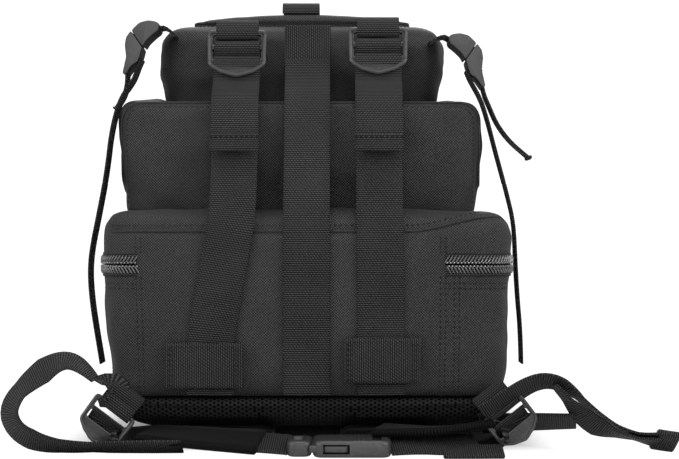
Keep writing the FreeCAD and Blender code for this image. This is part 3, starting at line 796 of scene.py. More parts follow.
def mainCompartment():
    values = mainForm
    inset = Vector((values["inset"], values["inset"], 0))
    bm = roundForm(Vector((rearLow.x, rearLow.y, rearLow.z)) + inset,
                   Vector((lidHigh.x, lidHigh.y, lidHigh.z)) - inset,
                   values["corner"], values["top"], values["bottom"])

    def tapered(place):
        share = smoothStep(zipHeight - 0.01, rearLow.z, place.z)
        place.x *= 1 - values["taper"] * share
        return place

    def held(place):
        low = 1 - smoothStep(rearLow.z + 0.004, rearLow.z + 0.014, place.z)
        zipped = 1 - smoothStep(0.006, 0.014, abs(place.z - zipHeight))
        if inBasePanel(place):
            zipped *= 1 - smoothStep(0.0, 0.02, min(place.x - zipEnds[0], zipEnds[1] - place.x))
        seam = 1 - smoothStep(0.003, 0.008, abs(place.z - baseSeamHeight(place.x)))
        under = 1.0 if (place.z > lidHigh.z - 0.004 and secondLow.x < place.x < secondHigh.x
                        and secondLow.y < place.y < secondHigh.y) else 0.0
        return max(low, zipped, 0.6 * seam, under)

    form = remeshed("main_form", bm, values["voxel"], tapered)
    inflate(form, values["pressure"], values["cap"], held)
    crumple(form, values["fold"], values["foldSpread"],
            lambda place: max(0.85 * held(place), 0.0), 3.0)
    subdivided(form)
    for v in form.data.vertices:
        v.co.y = max(v.co.y, rearLow.y + values["behindStraps"])
    groove(form, lambda p: p.z - baseSeamHeight(p.x) if p.y < rearLow.y + 0.02 else 1.0,
           1.6 * mm, 2.6 * mm)
    planes = [(Vector((0, 0, zipHeight - values["band"])), zAxis),
              (Vector((0, 0, zipHeight + values["band"])), zAxis),
              (Vector((zipEnds[0], 0, 0)), xAxis), (Vector((zipEnds[1], 0, 0)), xAxis)]
    cut = sliced(form, planes)
    low, high = zipHeight - values["band"], zipHeight + values["band"]
    taken(cut, "rear_shell", lambda c: c.z < low, "pack_fabric", "root", ["main_rear_shell"])
    taken(cut, "lid_shell", lambda c: c.z > high, "pack_fabric", "main_lid",
          ["main_front_shell"])
    hinge = taken(cut, "base_hinge_panel", lambda c: low < c.z < high and inBasePanel(c),
                  "pack_fabric", None, [])
    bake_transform(hinge)
    cut.free()
    tree = treeOf(form)
    bpy.data.objects.remove(form)
    print("main compartment made")
    return tree


mainTree = mainCompartment()


# second compartment, cut into a tray and its zipped lid
secondForm = {
    "inset": 0.2 * mm, "corner": 22 * mm, "top": 10 * mm, "sink": 5 * mm, "voxel": 5.4 * mm,
    "pressure": 9.0, "cap": 5 * mm, "fold": 3.0 * mm, "foldSpread": (0.035, 0.05, 0.04),
    "zipGap": 2.4 * mm,
}
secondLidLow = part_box("second_lid_shell")[0]
secondZip = secondLidLow.z


def frontSeamOff(place, low, high, inset, corner):
    # how far a point of the base face is from the sewn edge round that face
    x = abs(place.x - (low.x + high.x) / 2) - ((high.x - low.x) / 2 - inset)
    z = place.z - (high.z - inset * 0.7)
    if x > -corner and z > -corner:
        return math.hypot(x + corner, z + corner) - corner
    return x if x > z else z


def tierSeam(low, high, inset, corner, bottom):
    # the same sewn edge as a route: up one side, over and down the other
    middle = (low.x + high.x) / 2
    half = (high.x - low.x) / 2 - inset
    top = high.z - inset * 0.7
    route = []
    for sign in (-1, 1):
        side = [Vector((middle + sign * half, 0, bottom + (top - corner - bottom) * i / 12))
                for i in range(12)]
        for i in range(9):
            angle = math.pi / 2 * i / 8
            side.append(Vector((middle + sign * (half - corner + corner * math.cos(angle)), 0,
                                top - corner + corner * math.sin(angle))))
        route += side if sign < 0 else side[::-1]
    even, length = evenly(route, 3 * mm)
    return [Vector((p.x, low.y, p.z)) for p in even]


def secondCompartment():
    values = secondForm
    inset = values["inset"]
    bm = roundForm(secondLow + Vector((inset, inset, -values["sink"])),
                   secondHigh - Vector((inset, inset, 0)), values["corner"], values["top"], 0)

    def shaped(place):
        # pinched where it meets the lid below
        share = 1 - smoothStep(secondLow.z, secondLow.z + 0.05, place.z)
        place.x -= (place.x - (secondLow.x + secondHigh.x) / 2) * 0.035 * share
        place.y += 0.004 * share if place.y < 0 else 0
        return place

    def off(place):
        if place.y > secondLow.y + 0.02:
            return 1.0
        return frontSeamOff(place, secondLow, secondHigh, 3 * mm, 14 * mm)

    def held(place):
        low = 1 - smoothStep(secondLow.z, secondLow.z + 0.012, place.z)
        zipped = 0.0
        if place.y > 0.045:
            zipped = 1 - smoothStep(0.003, 0.009, abs(place.z - secondZip))
        top = 1.0 if (place.z > secondHigh.z - 0.003 and abs(place.x + 0.005) < 0.098) else 0.0
        return max(low, zipped, top, 0.5 * (1 - smoothStep(0.003, 0.007, abs(off(place)))))

    form = remeshed("second_form", bm, values["voxel"], shaped)
    inflate(form, values["pressure"], values["cap"], held)
    crumple(form, values["fold"], values["foldSpread"], held, 11.0)
    subdivided(form)
    groove(form, off, 1.5 * mm, 2.6 * mm)
    split = (secondLidLow.y + 0.0505) / 2
    cut = sliced(form, [(Vector((0, 0, secondZip - values["zipGap"])), zAxis),
                        (Vector((0, 0, secondZip + values["zipGap"])), zAxis),
                        (Vector((0, split, 0)), yAxis)])
    taken(cut, "second_tray", lambda c: c.z < secondZip - values["zipGap"] or c.y < split,
          "pack_fabric", "main_lid", ["second_shell"])
    taken(cut, "second_lid", lambda c: c.z > secondZip + values["zipGap"] and c.y > split,
          "pack_fabric", "second_lid", ["second_lid_shell"])
    cut.free()
    tree = treeOf(form)
    bpy.data.objects.remove(form)
    print("second compartment made")
    return tree


secondTree = secondCompartment()


# lower pocket: a slumped pouch with a wide mouth under its flap
lowerForm = {
    "inset": 0.0, "corner": 20 * mm, "top": 27 * mm, "sink": 5 * mm, "voxel": 5 * mm,
    "pressure": 9.0, "cap": 6 * mm, "fold": 3.2 * mm, "foldSpread": (0.03, 0.04, 0.022),
}
lowerLow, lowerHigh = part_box("lower_pocket_shell")
flapLow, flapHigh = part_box("lower_flap")


def lowerPocket():
    values = lowerForm
    inset = values["inset"]
    bm = roundForm(lowerLow + Vector((inset, inset, -values["sink"])),
                   lowerHigh - Vector((inset, inset, 0)), values["corner"], values["top"], 0)
    middle = (lowerLow.x + lowerHigh.x) / 2

    def shaped(place):
        waist = 1 - smoothStep(lowerLow.z, lowerLow.z + 0.025, place.z)
        place.x -= (place.x - middle) * 0.05 * waist
        place.y += 0.005 * waist if place.y < lowerLow.y + 0.03 else 0
        return place

    def held(place):
        low = 1 - smoothStep(lowerLow.z, lowerLow.z + 0.01, place.z)
        mouth = 1 - smoothStep(0.0, 0.012, flapLow.z - 0.002 - place.z)
        return max(low, mouth)

    form = remeshed("lower_form", bm, values["voxel"], shaped)
    inflate(form, values["pressure"], values["cap"], held)
    crumple(form, values["fold"], values["foldSpread"], held, 23.0)
    subdivided(form)
    mouth = [lowerLow.x + 0.026, lowerHigh.x - 0.026, lowerLow.y + 0.026, lowerHigh.y - 0.026]
    cut = sliced(form, [(Vector((mouth[0], 0, 0)), xAxis), (Vector((mouth[1], 0, 0)), xAxis),
                        (Vector((0, mouth[2], 0)), yAxis), (Vector((0, mouth[3], 0)), yAxis)])
    taken(cut, "lower_pouch", lambda c: not (mouth[0] < c.x < mouth[1] and c.z > lowerHigh.z - 0.02
                                             and mouth[2] < c.y < mouth[3]),
          "pack_fabric", "main_lid", ["lower_pocket_shell"])
    cut.free()
    bpy.data.objects.remove(form)
    print("lower pocket made")


lowerPocket()


# padded flaps over the two pockets
flapForm = {"voxel": 3.2 * mm, "pressure": 4.0, "cap": 2.5 * mm, "inset": 0.8 * mm,
            "crown": 0.6 * mm, "fall": 7.4 * mm, "plump": 1.34}


def paddedFlap(name, node, low, high, corner, edge):
    inset = Vector((flapForm["inset"],) * 3)
    bm = roundForm(low + inset, high - inset, corner, edge, 1.5 * mm)
    middle, half = (low + high) / 2, (high - low) / 2

    def shaped(place):
        across = 1 - ((place.x - middle.x) / half.x) ** 2
        along = 1 - ((place.y - middle.y) / half.y) ** 2
        arch = (0.22 + 0.78 * max(0.0, across) ** 0.6) * flapForm["plump"]
        place.z = low.z + (place.z - low.z) * arch + flapForm["crown"] * across * along
        return place

    def held(place):
        reach = min(half.x - abs(place.x - middle.x), half.y - abs(place.y - middle.y))
        return max(1 - smoothStep(0.002, 0.01, reach), 1.0 if place.z < middle.z else 0.0)

    piece = remeshed(name, bm, flapForm["voxel"], shaped)
    inflate(piece, flapForm["pressure"], flapForm["cap"], held)
    crumple(piece, 0.6 * mm, (0.03, 0.04, 0.02), held, 5.0)
    subdivided(piece)
    clothMap(piece.data)
    dress(piece, "pack_fabric", node, [node])
    return piece


upperFlapLow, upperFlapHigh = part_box("upper_flap")
paddedFlap("lower_flap_pad", "lower_flap", flapLow, flapHigh, 16 * mm, 4.5 * mm)
paddedFlap("upper_flap_pad", "upper_flap", upperFlapLow, upperFlapHigh, 14 * mm, 4.5 * mm)


# upper pocket with its slanted near face
upperLow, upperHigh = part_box("upper_pocket_shell")
upperForm = {"slant": 23 * mm, "voxel": 5 * mm, "pressure": 7.0, "cap": 5 * mm,
             "fold": 1.8 * mm, "foldSpread": (0.04, 0.04, 0.025), "inset": 2 * mm, "rim": 6 * mm}


def upperPocket():
    values = upperForm
    inset = Vector((values["inset"], values["inset"], 0))
    bm = roundForm(upperLow + inset - Vector((0, 0, 2 * mm)), upperHigh - inset, 13 * mm, 3 * mm, 0)

    def shaped(place):
        share = (place.z - upperLow.z) / (upperHigh.z - upperLow.z)
        far = (upperHigh.y - place.y) / (upperHigh.y - upperLow.y)
        place.y += values["slant"] * max(0.0, share) * far
        return place

    def held(place):
        low = 1 - smoothStep(upperLow.z, upperLow.z + 0.008, place.z)
        return max(low, smoothStep(upperHigh.z - 0.009, upperHigh.z - 0.003, place.z))

    form = remeshed("upper_form", bm, values["voxel"], shaped)
    inflate(form, values["pressure"], values["cap"], held)
    crumple(form, values["fold"], values["foldSpread"], held, 31.0)
    subdivided(form)
    lip = upperHigh.z - 1.5 * mm
    cut = sliced(form, [(Vector((0, 0, lip)), zAxis)])
    taken(cut, "upper_pouch", lambda c: c.z < lip, "pack_fabric", "second_lid",
          ["upper_pocket_shell"])
    cut.free()
    bpy.data.objects.remove(form)
    print("upper pocket made")


upperPocket()


# seams: piping and sewn rows laid on the swollen forms
seam = {"piping": 1.0 * mm, "lift": 0.2 * mm}


def seams():
    route = [Vector((x * mm, rearLow.y, baseSeamHeight(x * mm))) for x in range(-134, 137, 3)]
    line = laidOn(mainTree, route, yAxis, seam["lift"])
    tube("base_seam_piping", [line], seam["piping"], "pack_fabric", "main_lid")
    above = laidOn(mainTree, [p + zAxis * 4 * mm for p in route], yAxis)
    stitches("base_seam_stitches", [above], "main_lid")
    rows = []
    for x, lean in ((-117, 0.03), (-113.5, 0.03), (92, -0.01), (95.5, -0.01), (101.5, -0.01),
                    (105, -0.01)):
        up = [Vector(((x + (130 - z) * lean) * mm, rearLow.y, z * mm)) for z in range(42, 121, 3)]
        rows.append(laidOn(mainTree, up, yAxis))
    stitches("base_panel_stitches", rows, "root")
    upper = []
    for x in (-117, -113.5, 92, 95.5):
        up = [Vector((x * mm, rearLow.y, z * mm)) for z in range(138, 150, 3)]
        upper.append(laidOn(mainTree, up, yAxis))
    stitches("lid_panel_stitches", upper, "main_lid")
    edge = tierSeam(secondLow, secondHigh, 3 * mm, 14 * mm, secondLow.z + 6 * mm)
    tube("second_seam_piping", [laidOn(secondTree, edge, yAxis, seam["lift"])], seam["piping"],
         "pack_fabric", "main_lid")
    inner = tierSeam(secondLow, secondHigh, 7.5 * mm, 11 * mm, secondLow.z + 6 * mm)
    stitches("second_seam_stitches", [laidOn(secondTree, inner, yAxis)], "main_lid")
    under = []
    for sign, near, far in ((-1, -140, -118), (1, 98, 140)):
        for z in (116, 112.5):
            line = [Vector((x * mm, rearLow.y, z * mm)) for x in range(near, far, 3)]
            under.append(laidOn(mainTree, line, yAxis))
    stitches("zip_stitches", under, "root")
    print("seams sewn")


seams()


# main zip: two rows of coil teeth round three sides, each on its tape
zipper = {"pitch": 2.45 * mm, "tooth": (0.62 * mm, 1.15 * mm, 3.4 * mm), "lean": 32,
          "head": (0.85 * mm, 1.25 * mm, 1.0 * mm), "middle": 2.3 * mm, "tape": 0.7 * mm}


def zipLine(half, long, corner, ends, step):
    # from the left end on the base, round the far side, to the right end on the base
    route = [Vector((ends[0], -long, 0)), Vector((-half + corner, -long, 0))]
    for cx, cy, start in ((-half + corner, -long + corner, 270), (-half + corner, long - corner, 180),
                          (half - corner, long - corner, 90), (half - corner, -long + corner, 0)):
        for i in range(13):
            angle = math.radians(start - 90 * i / 12)
            route.append(Vector((cx + corner * math.cos(angle), cy + corner * math.sin(angle), 0)))
    route.append(Vector((ends[1], -long, 0)))
    return evenly(route, step)[0]


def mainZip():
    half, long = chainHigh.x - 1.6 * mm, -chainLow.y - 1.6 * mm
    line = zipLine(half, long, 24 * mm, zipEnds, zipper["pitch"])
    tooth, head = zipper["tooth"], zipper["head"]
    for name, node, body, sign in (("rear_zip", "rear_zip_half", "root", -1),
                                   ("lid_zip", "front_zip_half", "main_lid", 1)):
        bm = bmesh.new()
        for i in range(len(line) - 1):
            forward = tangentAt(line, i)
            out = forward.cross(zAxis) * -1
            place = line[i] + forward * (zipper["pitch"] / 2 if sign > 0 else 0)
            turn = Matrix((forward, out, zAxis)).transposed().to_4x4()
            lean = Matrix.Rotation(math.radians(-zipper["lean"] * sign), 4, "Y")
            for size, height, tilt in ((tooth, 3.6 * mm, lean), (head, 1.2 * mm, Matrix())):
                where = Matrix.Translation(place + zAxis * (zipHeight + sign * height))
                bmesh.ops.create_icosphere(bm, subdivisions=1, radius=1,
                                           matrix=where @ turn @ tilt @ Matrix.Diagonal((*size, 1)))
        newPiece(name + "_coil", bm, "zip_chain", body, [node])
        inner = zipLine(half - 0.9 * mm, long - 0.9 * mm, 23 * mm, zipEnds, 4 * mm)
        rim = zipHeight + sign * 4.4 * mm
        path = [p + zAxis * rim for p in inner]
        strap(name + "_tape", path, 7.6 * mm, zAxis, "webbing_turned", body,
              thick=zipper["tape"], ripple=0)
    print("zip coiled")


mainZip()


# webbing over the base: a centre band and two straps drawn up to their ladder locks
straps = {
    "front": -231.6 * mm, "wide": 32 * mm, "thin": 1.7 * mm,
    "patch": (53 * mm, 31 * mm),
}
lock = {"left": Vector((-0.050, -0.178, 0.292)), "right": Vector((0.050, -0.178, 0.294)),
        "tilt": math.radians(20)}


def besideLock(side, out, up):
    base, tilt = lock[side], lock["tilt"]
    out, up = out * mm, up * mm
    return Vector((base.x, base.y + out * math.cos(tilt) + up * math.sin(tilt),
                   base.z - out * math.sin(tilt) + up * math.cos(tilt)))


def overBase(x, top, foot=0.0):
    # up the base panel and across the gap between the two tiers
    front = straps["front"]
    points = [(front, 40), (front, 75), (front, 110), (front - 0.0008, 129), (front, 145),
              (front + 0.0015, 160), (-0.2195, 192), (-0.2105, 220)]
    return [Vector((x + foot * min(1.0, max(0.0, 1 - (z - 76) / 90)), y, z * mm))
            for y, z in points] + top


def baseStraps():
    front, wide = straps["front"], straps["wide"]
    over = [Vector((0, -0.2055, 0.237)), Vector((0, -0.198, 0.249)), Vector((0, -0.184, 0.262)),
            Vector((0, -0.1775, 0.276)), Vector((0, -0.175, 0.297))]
    line = pulledLine("centre", overBase(0, over))
    piece = strap("centre_webbing", line, wide, replaced=["centre_webbing_lower",
                                                          "centre_webbing_upper"],
                  thick=straps["thin"])
    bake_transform(piece)
    band = [Vector((0, -0.1790, 0.2725)), Vector((0, -0.1782, 0.284)), Vector((0, -0.1768, 0.2985))]
    strap("centre_top_band", pulledLine("band", band), wide + 0.6 * mm,
          finishName="webbing_turned", body="main_lid", thick=straps["thin"])
    for side, foot, lower in (("left", -0.016, -0.066), ("right", 0.001, 0.051)):
        x = lock[side].x
        rise = [Vector((x, -0.2065, 0.238))] + [besideLock(side, *p) for p in (
            (7, -38), (5.4, -24), (4.4, -16), (4.2, -12), (3.4, -8.6), (0, -5.6), (-3.2, -8.4),
            (-3.6, -11.4), (-2.4, -14.6), (1.4, -17.2))]
        line = pulledLine(side + "_rise", overBase(x, rise, foot=foot))
        node = f"{side}_base_strap_"
        cut = next(i for i, p in enumerate(line) if p.z > 0.2)
        lowerPart = strap(side + "_base_strap", line[:cut + 1], wide, thick=straps["thin"],
                          replaced=[node + "lower"])
        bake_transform(lowerPart)
        upperPart = strap(side + "_base_strap_top", line[cut:], wide, thick=straps["thin"],
                          replaced=[node + "upper"])
        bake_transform(upperPart)
        drop = [besideLock(side, *p) for p in ((1.0, -16.6), (-1.6, -19.5), (-1.2, -27), (1.2, -36))]
        drop += [Vector((x, -0.2075, 0.247)), Vector((x, -0.2145, 0.236)),
                 Vector((x, -0.2195, 0.222)), Vector((x, -0.2215, 0.2085))]
        tail = strap(side + "_base_strap_tail", pulledLine(side + "_drop", drop), wide + 1 * mm,
                     thick=straps["thin"])
        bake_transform(tail)
        hem = [Vector((x, -0.2225, 0.2185)), Vector((x, -0.2239, 0.2072))]
        strap(side + "_tail_hem", hem, wide + 1.6 * mm, body="main_lid", thick=2.4 * mm)
        row = [[Vector((x + dx * mm, -0.2242, 217 * mm)) for dx in range(-16, 17, 4)]]
        stitches(side + "_hem_stitches", row, "main_lid")
        loop = [besideLock(side, *p) for p in ((4.2, 10), (4.2, 2), (3.0, -2.6), (0, -4.6),
                                               (-3.0, -2.6), (-3.6, 2), (-2.4, 8), (1.0, 11))]
        strap(side + "_lock_loop", pulledLine(side + "_loop", loop), wide - 2 * mm,
              body="main_lid", replaced=["lock_anchor_loops"] if side == "left" else (),
              thick=1.5 * mm)
    for i, (x, z) in enumerate(((-0.070, 0.060), (0.0515, 0.0635))):
        y = front - 2.6 * mm
        across, high = straps["patch"]
        line = [Vector((x, y, z - high / 2)), Vector((x, y - 0.3 * mm, z)),
                Vector((x, y, z + high / 2))]
        strap(f"base_patch_{i}", pulledLine("patch", line), across, finishName="webbing_turned",
              body="root", replaced=["base_patches"] if i == 0 else (), thick=2.8 * mm)
        edges = []
        for inset in (3 * mm, 5.5 * mm):
            for sign in (-1, 1):
                edges.append([Vector((x + sign * (across / 2 - inset), y - 1.6 * mm,
                                      z + t * mm)) for t in range(-13, 14, 3)])
        edges.append([Vector((x + t * mm, y - 1.3 * mm, z + high / 2 - 2.5 * mm))
                      for t in range(-22, 23, 3)])
        stitches(f"patch_stitches_{i}", edges, "root")
    print("base straps laid")


baseStraps()


# attachment rows on the sides and flaps, sewn down at intervals
def rows():
    sideLow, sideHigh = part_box("side_webbing")
    bars = []
    first = True
    for sign in (-1, 1):
        for z in (60.5, 102.5):
            x = sign * (sideHigh.x - 0.6 * mm)
            line = []
            for i in range(79):
                y = sideLow.y + (sideHigh.y - sideLow.y) * i / 78
                lift = abs(math.sin(math.pi * i / 13)) * 1.2 * mm
                line.append(Vector((x + sign * lift, y, z * mm)))
                if i % 13 == 0:
                    bars.append([Vector((x + sign * 1.2 * mm, y, (z + t) * mm))
                                 for t in range(-10, 11, 2)])
            strap(f"side_row_{'left' if sign < 0 else 'right'}_{int(z)}", line, 25 * mm, zAxis,
                  body="root", replaced=["side_webbing"] if first else (), thick=1.4 * mm)
            first = False
    stitches("side_row_bars", bars, "root")
    for name, node, spots in (("lower_flap", "lower_flap_webbing", (-93.5, -45.5, 2.5)),
                              ("upper_flap", "upper_flap_webbing", (122.5, 164.5))):
        low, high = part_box(node)
        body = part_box(name)
        top = body[1].z + 3.6 * mm
        half = 78 * mm if name == "lower_flap" else 74 * mm
        middle = (body[0].x + body[1].x) / 2
        bars = []
        for k, y in enumerate(spots):
            line = []
            for i in range(53):
                x = middle + (i / 26 - 1) * half * 0.96
                lift = abs(math.sin(math.pi * i / 13)) * 1.0 * mm
                fall = flapForm["fall"] * abs((x - middle) / half) ** 2.6
                line.append(Vector((x, y * mm, top + lift - fall)))
                if i % 13 == 0:
                    bars.append([Vector((x, (y + t) * mm, top + 1.0 * mm - fall))
                                 for t in range(-10, 11, 2)])
            strap(f"{name}_row_{k}", line, 25 * mm, yAxis, body=name,
                  replaced=[node] if k == 0 else (), thick=1.4 * mm)
        stitches(name + "_row_bars", bars, name)
    top = flapHigh.z + 2.4 * mm
    loop = [Vector((-5.5 * mm, y * mm, top + z * mm)) for y, z in
            ((-143, 0.2), (-141, 3), (-137, 7.6), (-128, 8.8), (-119, 7.6), (-115, 3), (-113, 0.2))]
    strap("front_loop", pulledLine("front_loop", loop), 27 * mm, xAxis, body="lower_flap",
          thick=1.5 * mm)


rows()


# ladder locks: side rails, two bars and a curved five-sided lip
ladder = {
    "thick": 3.2 * mm, "round": 1.0 * mm, "rod": 1.4 * mm,
    "rim": [(0, 0.9), (17.4, 0.9), (19.4, 0.2), (19.9, -1.6), (19.3, -22.8), (18.4, -25.2),
            (11, -30.2), (1.6, -33.4), (0, -33.7), (-1.6, -33.4), (-11, -30.2), (-18.4, -25.2),
            (-19.3, -22.8), (-19.9, -1.6), (-19.4, 0.2), (-17.4, 0.9), (0, 0.9)],
}


def ladderLock(name, place, turn, scale, body, replaced):
    outline = [(-20, 0), (-18.6, 1.4), (18.6, 1.4), (20, 0), (19.4, -24.4), (11, -30.6),
               (0, -34), (-11, -30.6), (-19.4, -24.4)]
    bm = bmesh.new()
    corners = [bm.verts.new((x * mm, 0, z * mm)) for x, z in outline]
    face = bm.faces.new(corners)
    bmesh.ops.bevel(bm, geom=[v for v in corners if v.co.z < -24 * mm], offset=3 * mm,
                    offset_type="OFFSET", affect="VERTICES", segments=3, profile=0.5, material=-1)
    pushed = bmesh.ops.extrude_face_region(bm, geom=list(bm.faces))["geom"]
    bmesh.ops.translate(bm, vec=(0, ladder["thick"], 0),
                        verts=[g for g in pushed if isinstance(g, bmesh.types.BMVert)])
    bmesh.ops.translate(bm, vec=(0, -ladder["thick"] / 2, 0), verts=bm.verts)
    piece = newPiece(name, bm, "buckle_plastic", None, replaced)
    for top, bottom in ((-1.6, -9), (-12.6, -20)):
        cutter = blockForm(Vector((-17 * mm, -0.02, bottom * mm)), Vector((17 * mm, 0.02, top * mm)))
        soften(cutter, edgesAlong(cutter, yAxis), 1.2 * mm, 3)
        tool = newPiece("slot_cutter", cutter, "buckle_plastic")
        slot = piece.modifiers.new("slot", "BOOLEAN")
        slot.operation = "DIFFERENCE"
        slot.object = tool
        slot.solver = "EXACT"
        settle(piece)
        bpy.data.objects.remove(tool)
    cutPlanes = bmesh.new()
    cutPlanes.from_mesh(piece.data)
    for z in (-21.5, -24, -27, -30):
        bmesh.ops.bisect_plane(cutPlanes, geom=list(cutPlanes.verts) + list(cutPlanes.edges)
                               + list(cutPlanes.faces), dist=1e-6, plane_co=(0, 0, z * mm),
                               plane_no=zAxis)
    for v in cutPlanes.verts:
        below = max(0.0, -20 * mm - v.co.z)
        v.co.y -= 9.0 * below * below
    cutPlanes.to_mesh(piece.data)
    cutPlanes.free()
    piece.data.transform(Matrix.Translation(place) @ turn.to_4x4() @ Matrix.Scale(scale, 4))
    roundEdges(piece, ladder["round"] * scale, 3, 40)
    piece.data.shade_smooth()
    piece.data.set_sharp_from_angle(angle=math.radians(50))
    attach(piece, body)
    rim = []
    for x, z in ladder["rim"]:
        below = max(0.0, -20 - z) * mm
        rim.append(place + turn @ (Vector((x * mm, -ladder["thick"] / 2 - 9.0 * below * below,
                                           z * mm)) * scale))
    # the rim takes the lighter copy of the plastic, a painted highlight along the rails
    tube(name + "_rim", [evenly(rim, 1.4 * mm)[0]], ladder["rod"] * scale, "buckle_painted_highlight", body)
    return piece


shoulderLocks = {"left": (Vector((-130, -234, 31)) * mm, 37), "right": (Vector((133, -234, 31)) * mm, -39)}


def ladderLocks():
    for side in ("left", "right"):
        turn = Matrix.Rotation(-lock["tilt"], 3, "X")
        name = side + "_ladder_lock"
        ladderLock(name + "_frame", lock[side], turn, 1.0, name, [name])
        place, angle = shoulderLocks[side]
        turn = Matrix.Rotation(math.radians(angle), 3, "Y")
        name = side + "_shoulder_lock"
        ladderLock(name + "_frame", place, turn, 0.78, name, [name])
    print("ladder locks made")


ladderLocks()


# curved side-release buckles of the compression straps
buckles = {
    "left": (104.3, 296), "right": (99.5, 287), "middle": -177 * mm, "half": 16.5 * mm,
    "socket": [(0, 2.2), (3, 3.6), (8, 4.2), (14, 2.6), (19.6, -2.8), (17.0, -6.6), (11.6, -14.4),
               (9.6, -10.6), (5, -6.2), (0.4, -2.6)],
    "core": [(8, 0.4), (14, 0.6), (18.4, -3.6), (21.6, -8), (22, -15), (15.4, -19), (13.2, -14.6),
             (10.4, -9)],
    "tongue": [(19.9, -3.2), (23.2, -7.6), (24.2, -13), (23.2, -21.5), (25.8, -33), (24.2, -34.2),
               (19.6, -27.5), (15.2, -24.6), (13.6, -20), (12.2, -14.8), (17.4, -7.0)],
}


def buckleSpot(side, out, up):
    sign = -1 if side == "left" else 1
    x, z = buckles[side]
    return Vector((sign * (x + out) * mm, 0, (z + up) * mm))


def sideBuckles():
    for side in ("left", "right"):
        for half in ("socket", "tongue"):
            bm = bmesh.new()
            corners = [bm.verts.new(buckleSpot(side, *p)) for p in buckles[half]]
            bm.faces.new(corners)
            pushed = bmesh.ops.extrude_face_region(bm, geom=list(bm.faces))["geom"]
            bmesh.ops.translate(bm, vec=(0, 2 * buckles["half"], 0),
                                verts=[g for g in pushed if isinstance(g, bmesh.types.BMVert)])
            bmesh.ops.translate(bm, vec=(0, buckles["middle"] - buckles["half"], 0), verts=bm.verts)
            bm.normal_update()
            soften(bm, edgesAlong(bm, yAxis), 1.4 * mm, 3)
            name = f"{side}_compression_{half}"
            # the buckle body takes the lighter copy of the plastic: painted highlights
            piece = newPiece(name + "_body", bm, "buckle_painted_highlight", None, [name])
            roundEdges(piece, 1.0 * mm, 3, 60)
            piece.data.set_sharp_from_angle(angle=math.radians(45))
            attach(piece, "main_lid" if half == "socket" else f"{side}_compression_tongue")
        arms = bmesh.new()
        start, end = buckleSpot(side, 15.6, -8.4), buckleSpot(side, 5.6, -0.8)
        for away in (-8.5, 0, 8.5):
            rod = blockForm(Vector((-1.5, -1.8, 0)) * mm, Vector((1.5, 1.8, (end - start).length / mm)) * mm)
            soften(rod, list(rod.edges), 0.7 * mm, 2)
            turn = (end - start).to_track_quat("Z", "Y").to_matrix().to_4x4()
            lift = Matrix.Translation(start + yAxis * (buckles["middle"] + away * mm))
            bmesh.ops.transform(rod, matrix=lift @ turn, verts=rod.verts)
            mesh = bpy.data.meshes.new("arm")
            rod.to_mesh(mesh)
            rod.free()
            arms.from_mesh(mesh)
            bpy.data.meshes.remove(mesh)
        newPiece(side + "_compression_arms", arms, "buckle_plastic", f"{side}_compression_tongue")
        core = bmesh.new()
        core.faces.new([core.verts.new(buckleSpot(side, *p)) for p in buckles["core"]])
        pushed = bmesh.ops.extrude_face_region(core, geom=list(core.faces))["geom"]
        bmesh.ops.translate(core, vec=(0, 10 * mm, 0),
                            verts=[g for g in pushed if isinstance(g, bmesh.types.BMVert)])
        bmesh.ops.translate(core, vec=(0, buckles["middle"] - 5 * mm, 0), verts=core.verts)
        newPiece(side + "_compression_core", core, "buckle_plastic", f"{side}_compression_tongue")
        ribs = bmesh.new()
        for i in range(4):
            spot = buckleSpot(side, 23.0 + 0.25 * i, -14.5 - 2.2 * i)
            bmesh.ops.create_icosphere(
                ribs, subdivisions=2, radius=1,
                matrix=Matrix.Translation(spot + yAxis * buckles["middle"])
                @ Matrix.Diagonal((1.2 * mm, 10 * mm, 0.7 * mm, 1)))
        newPiece(side + "_compression_grip", ribs, "buckle_plastic", f"{side}_compression_tongue")


sideBuckles()


compress = {
    "left": [(-146, 58), (-150, 82), (-153.5, 105), (-154.6, 124), (-153, 141), (-148, 165),
             (-142.5, 195), (-139, 225), (-133, 246), (-124.5, 257), (-121.5, 264), (-119.5, 270),
             (-117.5, 274)],
    "right": [(151.6, 58), (151.2, 82), (149, 104), (147.6, 129), (146.4, 158), (141.5, 178),
              (138, 191), (133.4, 208), (128.8, 226), (123.5, 244), (117.5, 255), (114, 261),
              (112.2, 266)],
    "second": {
        "left": [(-128.5, 271), (-127.5, 262), (-129.0, 250), (-133.5, 242), (-136.5, 238)],
        "right": [(122.5, 262), (124.6, 250), (129, 240), (134, 228), (143, 216), (152, 208),
                  (158, 203)],
    },
    "anchor": {"left": [(-106.5, 295), (-103.5, 296.6), (-99, 295.6), (-93, 290)],
               "right": [(101.6, 286.6), (98.4, 289.6), (94, 289.8), (86, 285)]},
}


